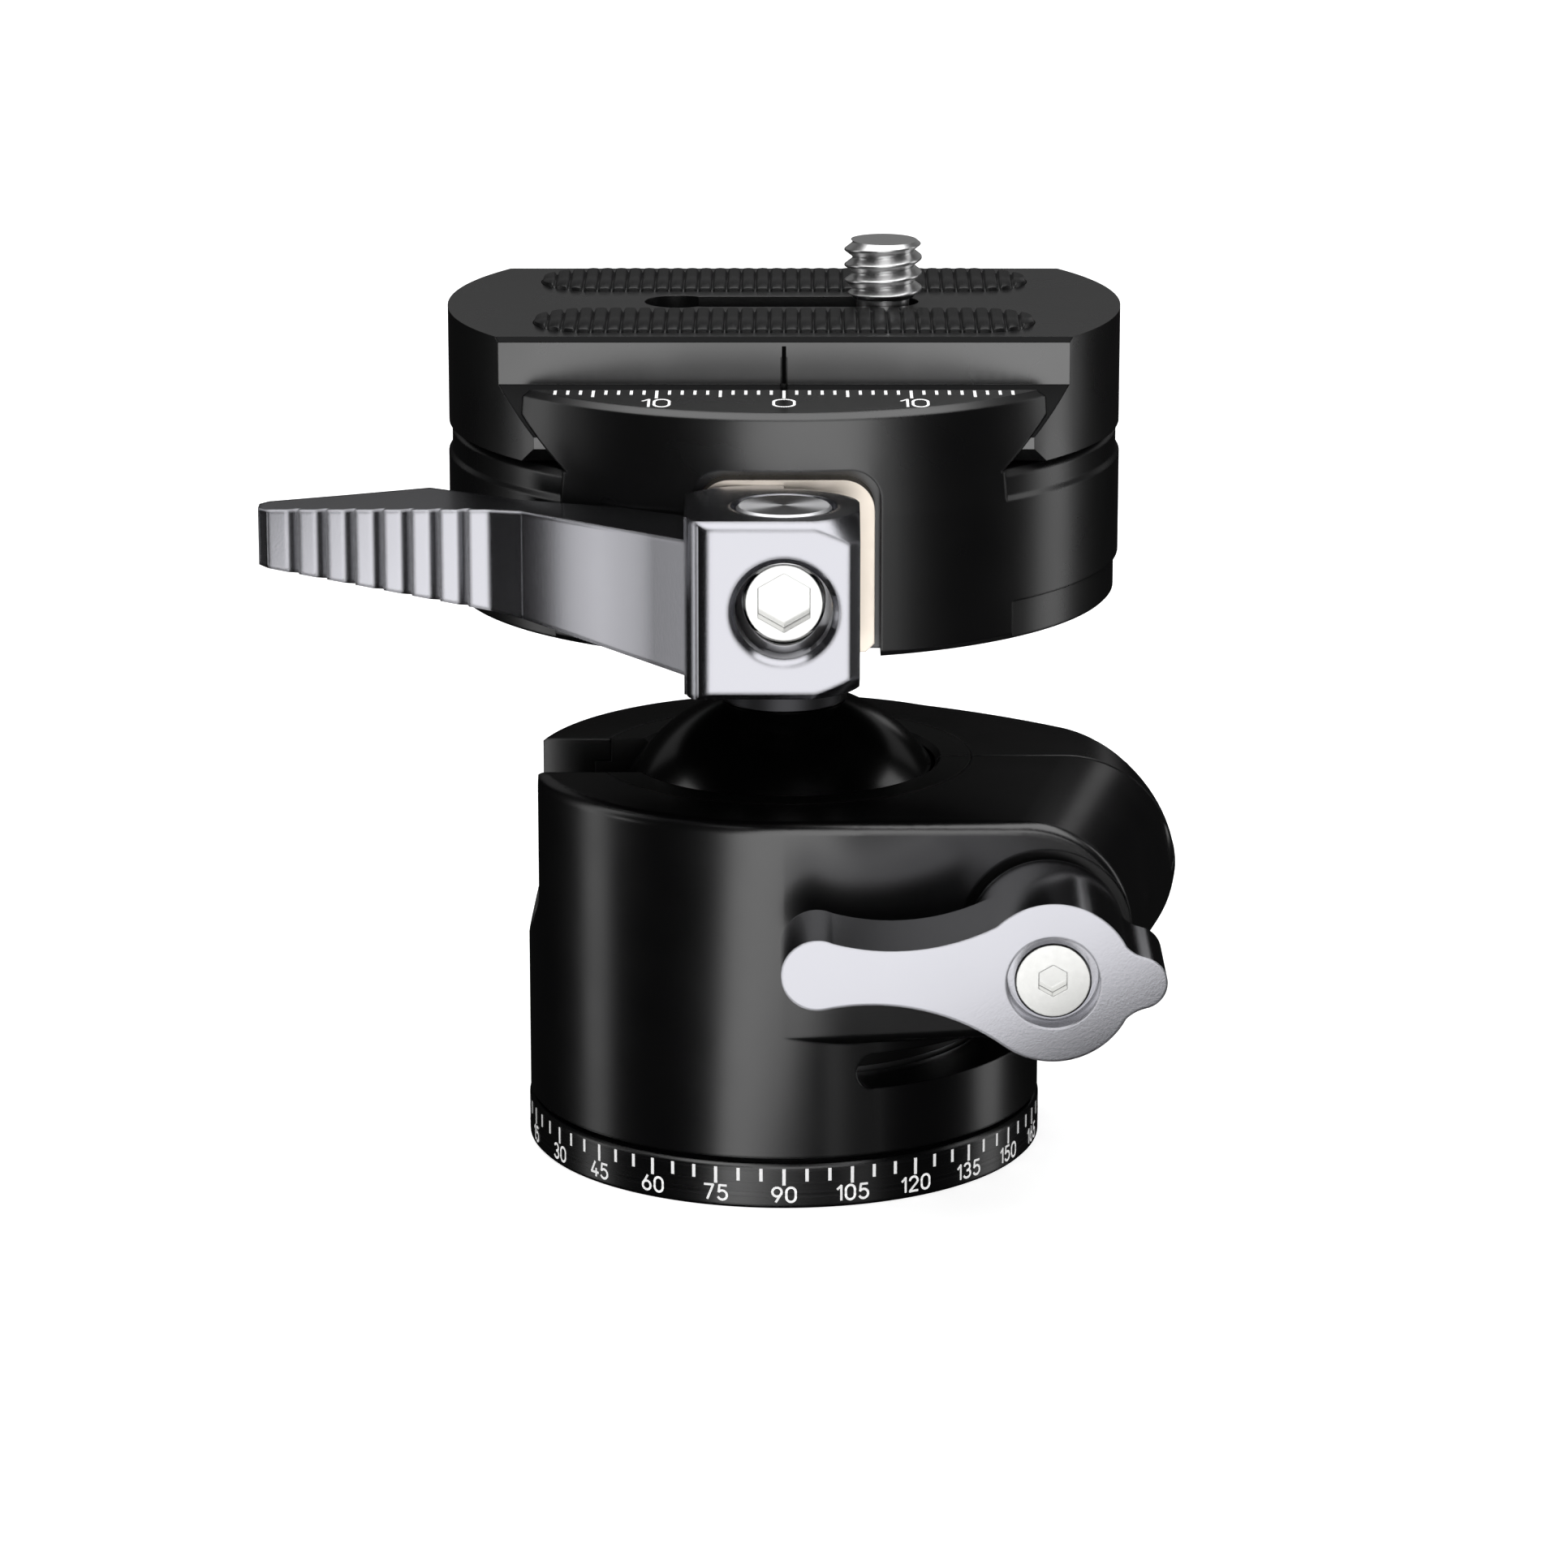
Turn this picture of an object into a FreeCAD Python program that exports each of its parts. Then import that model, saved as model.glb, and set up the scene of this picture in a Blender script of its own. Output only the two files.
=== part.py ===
"""Compact tripod ball head with a lever clamp and its quick-release plate.

Units are millimetres.  The origin is the centre of the base's underside, +Z is up, the front with
the two levers is -Y and the lock boss is on +X.
"""

import FreeCAD, Part
import math
import os
import re
import Sketcher

DOC = FreeCAD.newDocument("BallHead")
SHEET = DOC.addObject("Spreadsheet::Sheet", "Sizes")

# Driving sizes, each in a cell of its own with its name as the alias.
SIZES = {
    # panning base
    "base_step": 0.08,
    "base_height": 3.77,
    "base_edge_bevel": 0.25,
    "base_thread_radius": 3.97,
    "boss_radius": 13.0,
    "pan_washer_height": 0.5,
    "pan_washer_inset": 2.3,
    "run_fit": 0.05,
    # floor plug and the ring that holds the head on its base
    "plug_wall": 3.4,
    "plug_height": 5.03,
    "plug_lip_height": 1.83,
    "plug_rim": 2.0,
    "glide_height": 0.2,
    "glide_inset": 0.4,
    "keeper_inset": 0.5,
    "keeper_plate_height": 1.3,
    "keeper_rim_height": 2.6,
    "keeper_rim_width": 3.8,
    "keeper_bore": 5.0,
    "keeper_screw_circle": 8.6,
    "keeper_screw_count": 3,
    "keeper_screw_radius": 1.0,
    "keeper_screw_head_radius": 1.9,
    "keeper_screw_depth": 4.4,
    # ball and housing
    "ball_radius": 15.0,
    "ball_centre": 23.3,
    "ball_flat": 1.4,
    "ball_gap": 0.25,
    "housing_wall": 4.5,
    "housing_top": 32.4,
    "housing_rim_fillet": 1.0,
    "seat_wall": 1.55,
    "seat_neck_wall": 0.25,
    "seat_neck_height": 2.0,
    "seat_lead": 0.45,
    "seat_bottom": 15.2,
    "seat_fit": 0.05,
    "cup_top": 14.8,
    "cup_bottom": 10.3,
    "cup_bore": 8.6,
    "spring_width": 2.0,
    "spring_inset": 0.4,
    "spring_slack": 0.05,
    # portrait slot on the left and pinch split on the right
    "slot_half_width": 5.5,
    "slot_flat_depth": 1.1,
    "slot_flat_foot": 17.3,
    "slot_flat_knee": 21.6,
    "split_width": 0.35,
    "relief_height": 2.95,
    "relief_centre": 11.27,
    "relief_start_angle": 20.0,
    "relief_sweep": 78.0,
    # clamping boss of the housing
    "pinch_inset": 0.3,
    "boss_back_overhang": 1.9,
    "boss_back_round": 9.4,
    "boss_front_overhang": 2.5,
    "boss_front_round": 8.95,
    "boss_front_foot": 13.5,
    "boss_plan_angle": 35.0,
    "boss_plan_radius": 53.7,
    "boss_edge_fillet": 0.95,
    "hub_recess_radius": 6.9,
    "hub_recess_depth": 0.5,
    # ball lock lever
    "lock_shaft_radius": 3.0,
    "lock_shaft_play": 0.3,
    "lock_shaft_reach": 9.0,
    "lock_shaft_head": 30.0,
    "lock_washer_radius": 5.6,
    "lock_washer_play": 0.15,
    "lock_hub_back": 22.3,
    "lock_hub_radius": 6.4,
    "lock_arm_back": 26.4,
    "lock_front": 35.0,
    "lock_tip_x": 18.4,
    "lock_tip_rise": 0.6,
    "lock_tip_radius": 2.85,
    "lock_waist_radius": 17.5,
    "lock_nose_x": 6.8,
    "lock_nose_radius": 2.1,
    "lock_edge_bevel": 0.25,
    "lock_screw_head_radius": 3.02,
    "lock_screw_head_height": 1.6,
    "lock_screw_sunk": 0.6,
    "lock_screw_shank_radius": 1.5,
    "lock_screw_length": 4.5,
    "lock_screw_recess_radius": 3.65,
    "lock_screw_hex": 2.2,
    # panning lock knob at the back
    "pan_axis_height": 7.7,
    "pan_stud_radius": 1.5,
    "pan_pad_length": 1.4,
    "pan_pad_gap": 0.12,
    "pan_knob_radius": 5.2,
    "pan_knob_length": 9.2,
    "pan_knob_gap": 0.6,
    "pan_knob_flutes": 14,
    "pan_knob_flute_radius": 0.7,
    # stem
    "stem_radius": 5.2,
    "stem_seat_gap": 0.08,
    "stem_flange_radius": 8.0,
    "stem_flange_height": 0.9,
    "stem_flare_height": 0.7,
    "stem_stub_radius": 4.95,
    "stem_stub_height": 3.3,
    "grub_radius": 1.5,
    "grub_length": 6.0,
    # clamp body
    "clamp_bottom": 47.3,
    "clamp_radius": 27.4,
    "clamp_shoulder": 58.6,
    "clamp_ring_inset": 0.3,
    "clamp_ring_top": 60.5,
    "clamp_floor": 61.0,
    "clamp_neck_inset": 0.8,
    "clamp_edge_bevel": 0.5,
    "clamp_band_top": 50.4,
    "clamp_band_half_width": 18.05,
    "clamp_band_depth": 0.35,
    "jaw_top": 66.8,
    "jaw_taper": 0.4,
    "jaw_land": 17.4,
    "jaw_land_foot": 64.84,
    "jaw_edge_bevel": 0.5,
    "jaw_step_y": 21.0,
    "rear_split": 13.0,
    "rear_gap": 0.5,
    "guide_pin_x": 17.0,
    "guide_pin_radius": 1.5,
    "guide_pin_height": 54.8,
    "guide_pin_front": 4.0,
    "guide_pin_back": 19.5,
    "jaw_spring_x": 9.5,
    "jaw_spring_radius": 1.7,
    "jaw_spring_front": 6.5,
    "jaw_spring_back": 17.5,
    "jaw_spring_room": 0.3,
    # clamp lever, its pin and the draw bolt
    "pin_standoff": 5.0,
    "cam_height": 53.85,
    "draw_bolt_radius": 2.0,
    "draw_bolt_play": 0.3,
    "draw_bolt_cover": 2.9,
    "draw_head_radius": 3.15,
    "draw_head_rise": 3.1,
    "draw_head_height": 2.6,
    "draw_hex": 4.0,
    "cam_radius": 7.4,
    "cam_throw": 1.5,
    "cam_side_play": 0.1,
    "pin_radius": 3.7,
    "pin_top": 60.85,
    "pin_bottom": 45.6,
    "pin_head_radius": 4.4,
    "pin_head_height": 1.2,
    "block_left": 7.44,
    "block_depth": 6.2,
    "block_bottom": 46.9,
    "block_top": 60.8,
    "block_top_recess_radius": 4.15,
    "block_top_recess": 0.7,
    "block_bore_radius": 3.75,
    "block_bore_rim_radius": 4.25,
    "block_head_room": 0.3,
    "block_edge_bevel": 0.55,
    "block_side_bevel": 0.8,
    "block_corner_round": 2.0,
    "block_turned_radius": 6.0,
    "block_turned_slope": 0.85,
    "block_turned_reach": 9.6,
    "handle_top": 59.0,
    "handle_root_bottom": 48.4,
    "handle_tip_bottom": 54.2,
    "handle_neck_bottom": 50.45,
    "handle_tip_x": 41.0,
    "handle_neck_x": 20.4,
    "handle_neck_inset": 0.9,
    "handle_face_inset": 1.8,
    "handle_body_gap": 0.6,
    "ridge_first_x": 24.5,
    "ridge_pitch": 2.2,
    "ridge_count": 7,
    "ridge_depth": 0.55,
    "ridge_wall": 0.6,
    # thrust pad
    "pad_left": 7.2,
    "pad_right": 7.55,
    "pad_bottom": 47.4,
    "pad_top": 62.3,
    "pad_depth": 4.1,
    "pad_corner": 2.5,
    "pad_fit": 0.45,
    "pad_drop": 1.1,
    "pad_foot_bevel": 0.7,
    # quick-release plate
    "plate_inset": 0.05,
    "plate_lift": 0.2,
    "plate_thickness": 9.4,
    "plate_half_width": 15.4,
    "plate_flank_top": 66.84,
    "plate_flange_y": 18.95,
    "plate_flange_bottom": 62.35,
    "plate_flange_bevel": 1.1,
    "plate_edge_bevel": 0.4,
    "plate_corner_fillet": 1.0,
    "index_width": 0.5,
    "index_depth": 0.35,
    "index_drop": 0.6,
    "screw_slot_half_width": 2.35,
    "screw_slot_right": 8.6,
    "screw_entry_x": 8.6,
    "screw_entry_radius": 2.75,
    "screw_room_height": 3.0,
    "screw_room_half_width": 7.2,
    "screw_room_half_length": 16.2,
    "strip_half_length": 20.1,
    "strip_y": 8.9,
    "strip_half_width": 4.55,
    "strip_depth": 1.0,
    "strip_proud": 0.35,
    "strip_fit": 0.05,
    "strip_rib_pitch": 1.17,
    # camera screw
    "screw_x": 8.05,
    "screw_radius": 3.175,
    "screw_core_radius": 2.45,
    "screw_rise": 5.1,
    "screw_neck_radius": 2.15,
    "screw_neck_rise": 0.35,
    "screw_head_radius": 6.4,
    "screw_head_height": 2.2,
    "screw_head_slot": 1.4,
    "screw_washer_height": 0.4,
    "screw_washer_radius": 5.8,
    "screw_washer_play": 0.1,
}

# Sizes that follow from the driving ones, kept as formulas in the same sheet.
DERIVED = {
    "seat_bore": "ball_radius + ball_gap",
    "seat_radius": "seat_bore + seat_wall",
    "seat_neck_radius": "seat_bore + seat_neck_wall",
    "housing_radius": "seat_radius + housing_wall",
    "base_radius": "housing_radius + base_step",
    "plug_radius": "housing_radius - plug_wall",
    "plug_room_radius": "plug_radius - plug_rim",
    "pan_washer_radius": "housing_radius - pan_washer_inset",
    "glide_radius": "plug_room_radius - glide_inset",
    "keeper_radius": "plug_room_radius - keeper_inset",
    "keeper_rim_inner": "keeper_radius - keeper_rim_width",
    "spring_outer": "seat_radius - spring_inset",
    "spring_inner": "spring_outer - spring_width",
    "slot_flat_reach": "housing_radius - slot_flat_depth",
    "pinch_x": "housing_radius - pinch_inset",
    "boss_back_centre_x": "housing_radius + boss_back_overhang",
    "boss_front_y": "housing_radius",
    "boss_front_centre_x": "housing_radius - boss_front_overhang",
    "boss_plan_start_x": "housing_radius * sin(boss_plan_angle)",
    "boss_plan_start_y": "housing_radius * cos(boss_plan_angle)",
    "housing_bottom": "base_height + pan_washer_height",
    "plug_top": "housing_bottom + plug_height",
    "plug_lip_top": "housing_bottom + plug_lip_height",
    "keeper_bottom": "plug_lip_top + glide_height",
    "keeper_rim_top": "keeper_bottom + keeper_rim_height",
    "seat_step": "housing_top - seat_neck_height",
    "cup_land": "sqrt(seat_bore ^ 2 - (ball_centre - cup_top) ^ 2)",
    "boss_foot": "housing_top - 2 * boss_back_round",
    "boss_back_reach": "boss_back_centre_x + boss_back_round",
    "clamp_ring_radius": "clamp_radius - clamp_ring_inset",
    "clamp_neck_radius": "clamp_radius - clamp_neck_inset",
    "jaw_top_radius": "clamp_radius - jaw_taper",
    "pin_y": "clamp_radius + pin_standoff",
    "draw_bolt_back": "clamp_radius - draw_bolt_cover",
    "draw_head_front": "pin_y + draw_head_rise",
    "block_front": "pin_y + block_depth",
    "handle_neck_y": "clamp_radius - handle_neck_inset",
    "handle_face_y": "clamp_radius - handle_face_inset",
    "pad_back": "clamp_radius - pad_depth",
    "plate_radius": "clamp_radius - plate_inset",
    "plate_bottom": "clamp_floor + plate_lift",
    "plate_top": "plate_bottom + plate_thickness",
    "index_top": "plate_top - index_drop",
    "pan_pad_front": "keeper_radius + pan_pad_gap",
    "pan_knob_start": "housing_radius + pan_knob_gap",
    "stem_top": "clamp_bottom + stem_stub_height",
    "rear_face": "rear_split + rear_gap",
    "jaw_foot_y": "jaw_land + jaw_land_foot - clamp_floor",
    "pad_front": "pin_y - cam_radius",
    "block_right": "cam_radius - cam_throw - cam_side_play",
    "strip_top": "plate_top + strip_proud",
    "screw_top": "plate_top + screw_rise",
    "screw_room_top": "plate_bottom + screw_room_height",
    "screw_head_top": "screw_room_top - screw_washer_height",
    "lock_height": "ball_centre",
}


def fill_sheet():
    """Write every size into the sheet, its name beside it."""
    cells = {name: repr(number) for name, number in SIZES.items()}
    cells.update({name: "=" + formula for name, formula in DERIVED.items()})
    for row, (name, text) in enumerate(cells.items(), start=1):
        SHEET.set(f"A{row}", name)
        SHEET.set(f"B{row}", text)
        SHEET.setAlias(f"B{row}", name)
    DOC.recompute()


fill_sheet()
NAME = re.compile(r"\b(" + "|".join(list(SIZES) + list(DERIVED)) + r")\b")


def amount(formula):
    """What a formula of the sheet's names comes to now."""
    return float(SHEET.evalExpression(formula))


def bind(thing, prop, formula):
    """Tie one property of a feature to a formula of the sheet's names."""
    thing.setExpression(prop, NAME.sub(r"Sizes.\1", formula))


def place(thing, x="0", y="0", z="0", axis=None, angle="0"):
    """Tie a feature's place, and its turn about one axis, to the sheet."""
    if axis:
        thing.Placement = FreeCAD.Placement(FreeCAD.Vector(), FreeCAD.Rotation(axis, amount(angle)))
    bind(thing, ".Placement.Base.x", x)
    bind(thing, ".Placement.Base.y", y)
    bind(thing, ".Placement.Base.z", z)
    return thing


ALONG_X = FreeCAD.Vector(1, 0, 0)
ALONG_Y = FreeCAD.Vector(0, 1, 0)
ALONG_Z = FreeCAD.Vector(0, 0, 1)
QUARTER = "90"


# Sketches: an outline is a list of corners, each an (across, up) pair of formulas.  A third item
# makes the stretch to the next corner an arc of that radius, and a fourth says that it turns right.

def body(name):
    return DOC.addObject("PartDesign::Body", name)


def sketch(owner, plane, offset="0"):
    """An empty sketch on one of the body's own planes, moved along the plane's normal."""
    page = owner.newObject("Sketcher::SketchObject", owner.Name + "_sketch")
    support = next(face for face in owner.Origin.OriginFeatures if face.Role == plane + "_Plane")
    page.AttachmentSupport = [(support, "")]
    page.MapMode = "FlatFace"
    bind(page, ".AttachmentOffset.Base.z", offset)
    return page


def pin_point(page, edge, end, corner):
    """Hold one end of an edge at its corner's two formulas."""
    for kind, formula in zip(("DistanceX", "DistanceY"), corner):
        index = page.addConstraint(Sketcher.Constraint(kind, -1, 1, edge, end, amount(formula)))
        bind(page, f"Constraints[{index}]", formula)


def arc_edge(start, end, radius, turns_right):
    """The shorter arc between two points, always laid counter-clockwise as sketches want it."""
    half = (end - start).Length / 2
    reach = math.sqrt(max(radius * radius - half * half, 0.0))
    right = (end - start).cross(ALONG_Z).normalize()
    inward = right if turns_right else right * -1
    centre = (start + end) * 0.5 + inward * reach
    top = centre - inward * radius
    return Part.Arc(end, top, start) if turns_right else Part.Arc(start, top, end)


def hold_arc(page, edge, corner, following):
    """Tie an arc's radius, or for a half circle the line its centre lies on."""
    chord = math.hypot(amount(following[0]) - amount(corner[0]), amount(following[1]) - amount(corner[1]))
    if chord < 1.999 * amount(corner[2]):
        index = page.addConstraint(Sketcher.Constraint("Radius", edge, amount(corner[2])))
        bind(page, f"Constraints[{index}]", corner[2])
        return
    upright = abs(amount(following[0]) - amount(corner[0])) < 1e-6
    kind, formula = ("DistanceX", corner[0]) if upright else ("DistanceY", corner[1])
    index = page.addConstraint(Sketcher.Constraint(kind, -1, 1, edge, 3, amount(formula)))
    bind(page, f"Constraints[{index}]", formula)


def outline(page, corners):
    """Draw a closed outline of lines and arcs and tie each corner and radius to the sheet."""
    points = [FreeCAD.Vector(amount(corner[0]), amount(corner[1]), 0) for corner in corners]
    for number, corner in enumerate(corners):
        start, end = points[number], points[(number + 1) % len(points)]
        following = corners[(number + 1) % len(corners)]
        turns_right = len(corner) > 3
        if len(corner) > 2:
            edge = page.addGeometry(arc_edge(start, end, amount(corner[2]), turns_right))
            hold_arc(page, edge, corner, following)
        else:
            edge = page.addGeometry(Part.LineSegment(start, end))
        pin_point(page, edge, 2 if turns_right else 1, corner)
        pin_point(page, edge, 1 if turns_right else 2, following)
    return page


def ring(page, across, up, radius):
    """Draw a circle, tied to the sheet."""
    spot = FreeCAD.Vector(amount(across), amount(up), 0)
    edge = page.addGeometry(Part.Circle(spot, ALONG_Z, amount(radius)))
    pin_point(page, edge, 3, (across, up))
    size = page.addConstraint(Sketcher.Constraint("Radius", edge, amount(radius)))
    bind(page, f"Constraints[{size}]", radius)
    return page


def feature(owner, kind, page, **formulas):
    made = owner.newObject("PartDesign::" + kind, owner.Name + "_" + kind.lower())
    made.Profile = page
    for prop, formula in formulas.items():
        bind(made, prop, formula)
    page.Visibility = False
    return made


def pad(owner, page, length, backwards=False):
    made = feature(owner, "Pad", page, Length=length)
    made.Reversed = backwards
    DOC.recompute()
    return made


def cut(owner, page, depth, backwards=False):
    """Pocket against the sketch's normal, or along it when backwards, and see that it cuts."""
    before = owner.Shape.Volume
    made = feature(owner, "Pocket", page, Length=depth)
    made.Reversed = backwards
    DOC.recompute()
    if not owner.Shape.Volume < before:
        raise ValueError(made.Name + " cuts nothing")
    return made


def turn(owner, page, kind="Revolution"):
    made = feature(owner, kind, page)
    made.ReferenceAxis = (page, ["V_Axis"])
    made.Angle = 360
    DOC.recompute()
    return made


def turned(name, corners):
    """A lathe-turned body from its half section, (radius, height) corners."""
    owner = body(name)
    turn(owner, outline(sketch(owner, "XZ"), corners))
    return owner


def around(owner, first, count):
    """Repeat a feature evenly about the body's Z axis."""
    pattern = owner.newObject("PartDesign::PolarPattern", owner.Name + "_around")
    pattern.Originals = [first]
    pattern.Axis = (next(line for line in owner.Origin.OriginFeatures if line.Role == "Z_Axis"), [""])
    pattern.Angle = 360
    bind(pattern, "Occurrences", count)
    owner.Tip = pattern
    DOC.recompute()
    return pattern


def rod(name, radius, length, x="0", y="0", z="0", axis=None, angle="0"):
    """A plain cylinder from one end's centre."""
    made = DOC.addObject("Part::Cylinder", name)
    bind(made, "Radius", radius)
    bind(made, "Height", length)
    return place(made, x, y, z, axis, angle)


def block(name, length, width, height, x, y, z):
    """A box from its lowest corner."""
    made = DOC.addObject("Part::Box", name)
    bind(made, "Length", length)
    bind(made, "Width", width)
    bind(made, "Height", height)
    return place(made, x, y, z)


def joined(name, pieces):
    made = DOC.addObject("Part::MultiFuse", name)
    made.Shapes = pieces
    return made


def less(name, base, tool):
    made = DOC.addObject("Part::Cut", name)
    made.Base = base
    made.Tool = tool
    return made


def shared(name, pieces):
    made = DOC.addObject("Part::MultiCommon", name)
    made.Shapes = pieces
    return made


def group(name, pieces):
    """Several separate solids of one kind under one name."""
    made = DOC.addObject("Part::Compound", name)
    made.Links = pieces
    return made


def hexagon(page, across, up, flats):
    """A hexagon socket with two flats upright."""
    side = f"({flats}) / sqrt(3)"
    half = f"({flats}) / 2"
    steps = [(half, f"{side} / 2"), ("0", side), (f"-({half})", f"{side} / 2"),
             (f"-({half})", f"-({side}) / 2"), ("0", f"-({side})"), (half, f"-({side}) / 2")]
    return outline(page, [(f"{across} + {dx}", f"{up} + {dy}") for dx, dy in steps])


# Each sub-part has a function of its own that returns its finished object.

def base_ring():
    """Panning disc with the tripod thread and the boss that carries the head."""
    part = turned("base_ring", [
        ("base_thread_radius", "0"),
        ("base_radius - base_edge_bevel", "0"),
        ("base_radius", "base_edge_bevel"),
        ("base_radius", "base_height - base_edge_bevel"),
        ("base_radius - base_edge_bevel", "base_height"),
        ("boss_radius", "base_height"),
        ("boss_radius", "keeper_bottom"),
        ("base_thread_radius", "keeper_bottom"),
    ])
    hole = ring(sketch(part, "XY", "keeper_bottom"), "keeper_screw_circle", "0", "keeper_screw_radius")
    around(part, cut(part, hole, "keeper_screw_depth"), "keeper_screw_count")
    return part


def pan_washer():
    """Slip ring between the base and the housing."""
    return turned("pan_washer", [
        ("boss_radius + run_fit", "base_height"),
        ("pan_washer_radius", "base_height"),
        ("pan_washer_radius", "housing_bottom"),
        ("boss_radius + run_fit", "housing_bottom"),
    ])


def glide_washer():
    """Thin slip ring between the plug's lip and the keeper."""
    return turned("glide_washer", [
        ("boss_radius + run_fit", "plug_lip_top"),
        ("glide_radius", "plug_lip_top"),
        ("glide_radius", "keeper_bottom"),
        ("boss_radius + run_fit", "keeper_bottom"),
    ])


def keeper_ring():
    """Steel ring screwed on the boss: it traps the plug, and the pan lock bears on its rim."""
    part = turned("keeper_ring", [
        ("keeper_bore", "keeper_bottom"),
        ("keeper_radius", "keeper_bottom"),
        ("keeper_radius", "keeper_rim_top"),
        ("keeper_rim_inner", "keeper_rim_top"),
        ("keeper_rim_inner", "keeper_bottom + keeper_plate_height"),
        ("keeper_bore", "keeper_bottom + keeper_plate_height"),
    ])
    hole = ring(sketch(part, "XY", "keeper_bottom"), "keeper_screw_circle", "0",
                "keeper_screw_radius + run_fit")
    around(part, cut(part, hole, "keeper_plate_height", backwards=True), "keeper_screw_count")
    return part


def keeper_screws():
    """The screws that hold the keeper to the boss."""
    screws = []
    for number in range(int(SIZES["keeper_screw_count"])):
        angle = f"{number} * 360 / keeper_screw_count"
        spot = (f"keeper_screw_circle * cos({angle})", f"keeper_screw_circle * sin({angle})")
        shank = rod(f"keeper_shank_{number}", "keeper_screw_radius",
                    "keeper_screw_depth + keeper_plate_height - run_fit",
                    *spot, "keeper_bottom - keeper_screw_depth + run_fit")
        head = rod(f"keeper_head_{number}", "keeper_screw_head_radius", "0.9",
                   *spot, "keeper_bottom + keeper_plate_height")
        screws.append(joined(f"keeper_screw_{number}", [shank, head]))
    return group("keeper_screws", screws)


def floor_plug():
    """Threaded plug that closes the housing from below."""
    part = turned("floor_plug_blank", [
        ("boss_radius + run_fit", "housing_bottom"),
        ("plug_radius", "housing_bottom"),
        ("plug_radius", "plug_top"),
        ("plug_room_radius", "plug_top"),
        ("plug_room_radius", "plug_lip_top"),
        ("boss_radius + run_fit", "plug_lip_top"),
    ])
    hole = rod("plug_stud_hole", "pan_stud_radius + run_fit", "plug_radius",
               "0", "boss_radius", "pan_axis_height", ALONG_X, "-90")
    return less("floor_plug", part, hole)


def boss_section(page, centre_x, foot, round_radius):
    """Side view of the clamping boss: flat top, round end and a foot line."""
    middle = f"housing_top - {round_radius}"
    return outline(page, [
        ("0", foot),
        (centre_x, f"housing_top - 2 * {round_radius}", round_radius),
        (f"{centre_x} + {round_radius}", middle, round_radius),
        (centre_x, "housing_top"),
        ("0", "housing_top"),
    ])


def clamping_boss():
    """Front half drawn in towards the lever, back half trimmed to a curve in plan."""
    front = body("boss_front")
    back_page = boss_section(sketch(front, "XZ"), "boss_back_centre_x", "boss_foot", "boss_back_round")
    front_page = boss_section(sketch(front, "XZ", "boss_front_y"), "boss_front_centre_x",
                              "boss_front_foot", "boss_front_round")
    loft = front.newObject("PartDesign::AdditiveLoft", "boss_loft")
    loft.Profile = back_page
    loft.Sections = [front_page]
    loft.Ruled = True
    DOC.recompute()
    back = body("boss_back")
    pad(back, boss_section(sketch(back, "XZ"), "boss_back_centre_x", "boss_foot", "boss_back_round"),
        "boss_plan_start_y", backwards=True)
    plan = body("boss_plan")
    pad(plan, outline(sketch(plan, "XY"), [
        ("0", "0"),
        ("boss_back_reach", "0", "boss_plan_radius"),
        ("boss_plan_start_x", "boss_plan_start_y"),
        ("0", "boss_plan_start_y"),
    ]), "housing_top")
    return [front, shared("boss_back_trimmed", [back, plan])]


def portrait_slot(name, reach):
    """Round-bottomed slot on the left that the stem drops into."""
    tool = body(name)
    pad(tool, outline(sketch(tool, "YZ"), [
        ("-slot_half_width", "ball_centre", "slot_half_width"),
        ("slot_half_width", "ball_centre"),
        ("slot_half_width", "housing_top + 1"),
        ("-slot_half_width", "housing_top + 1"),
    ]), reach, backwards=True)
    return tool


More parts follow.
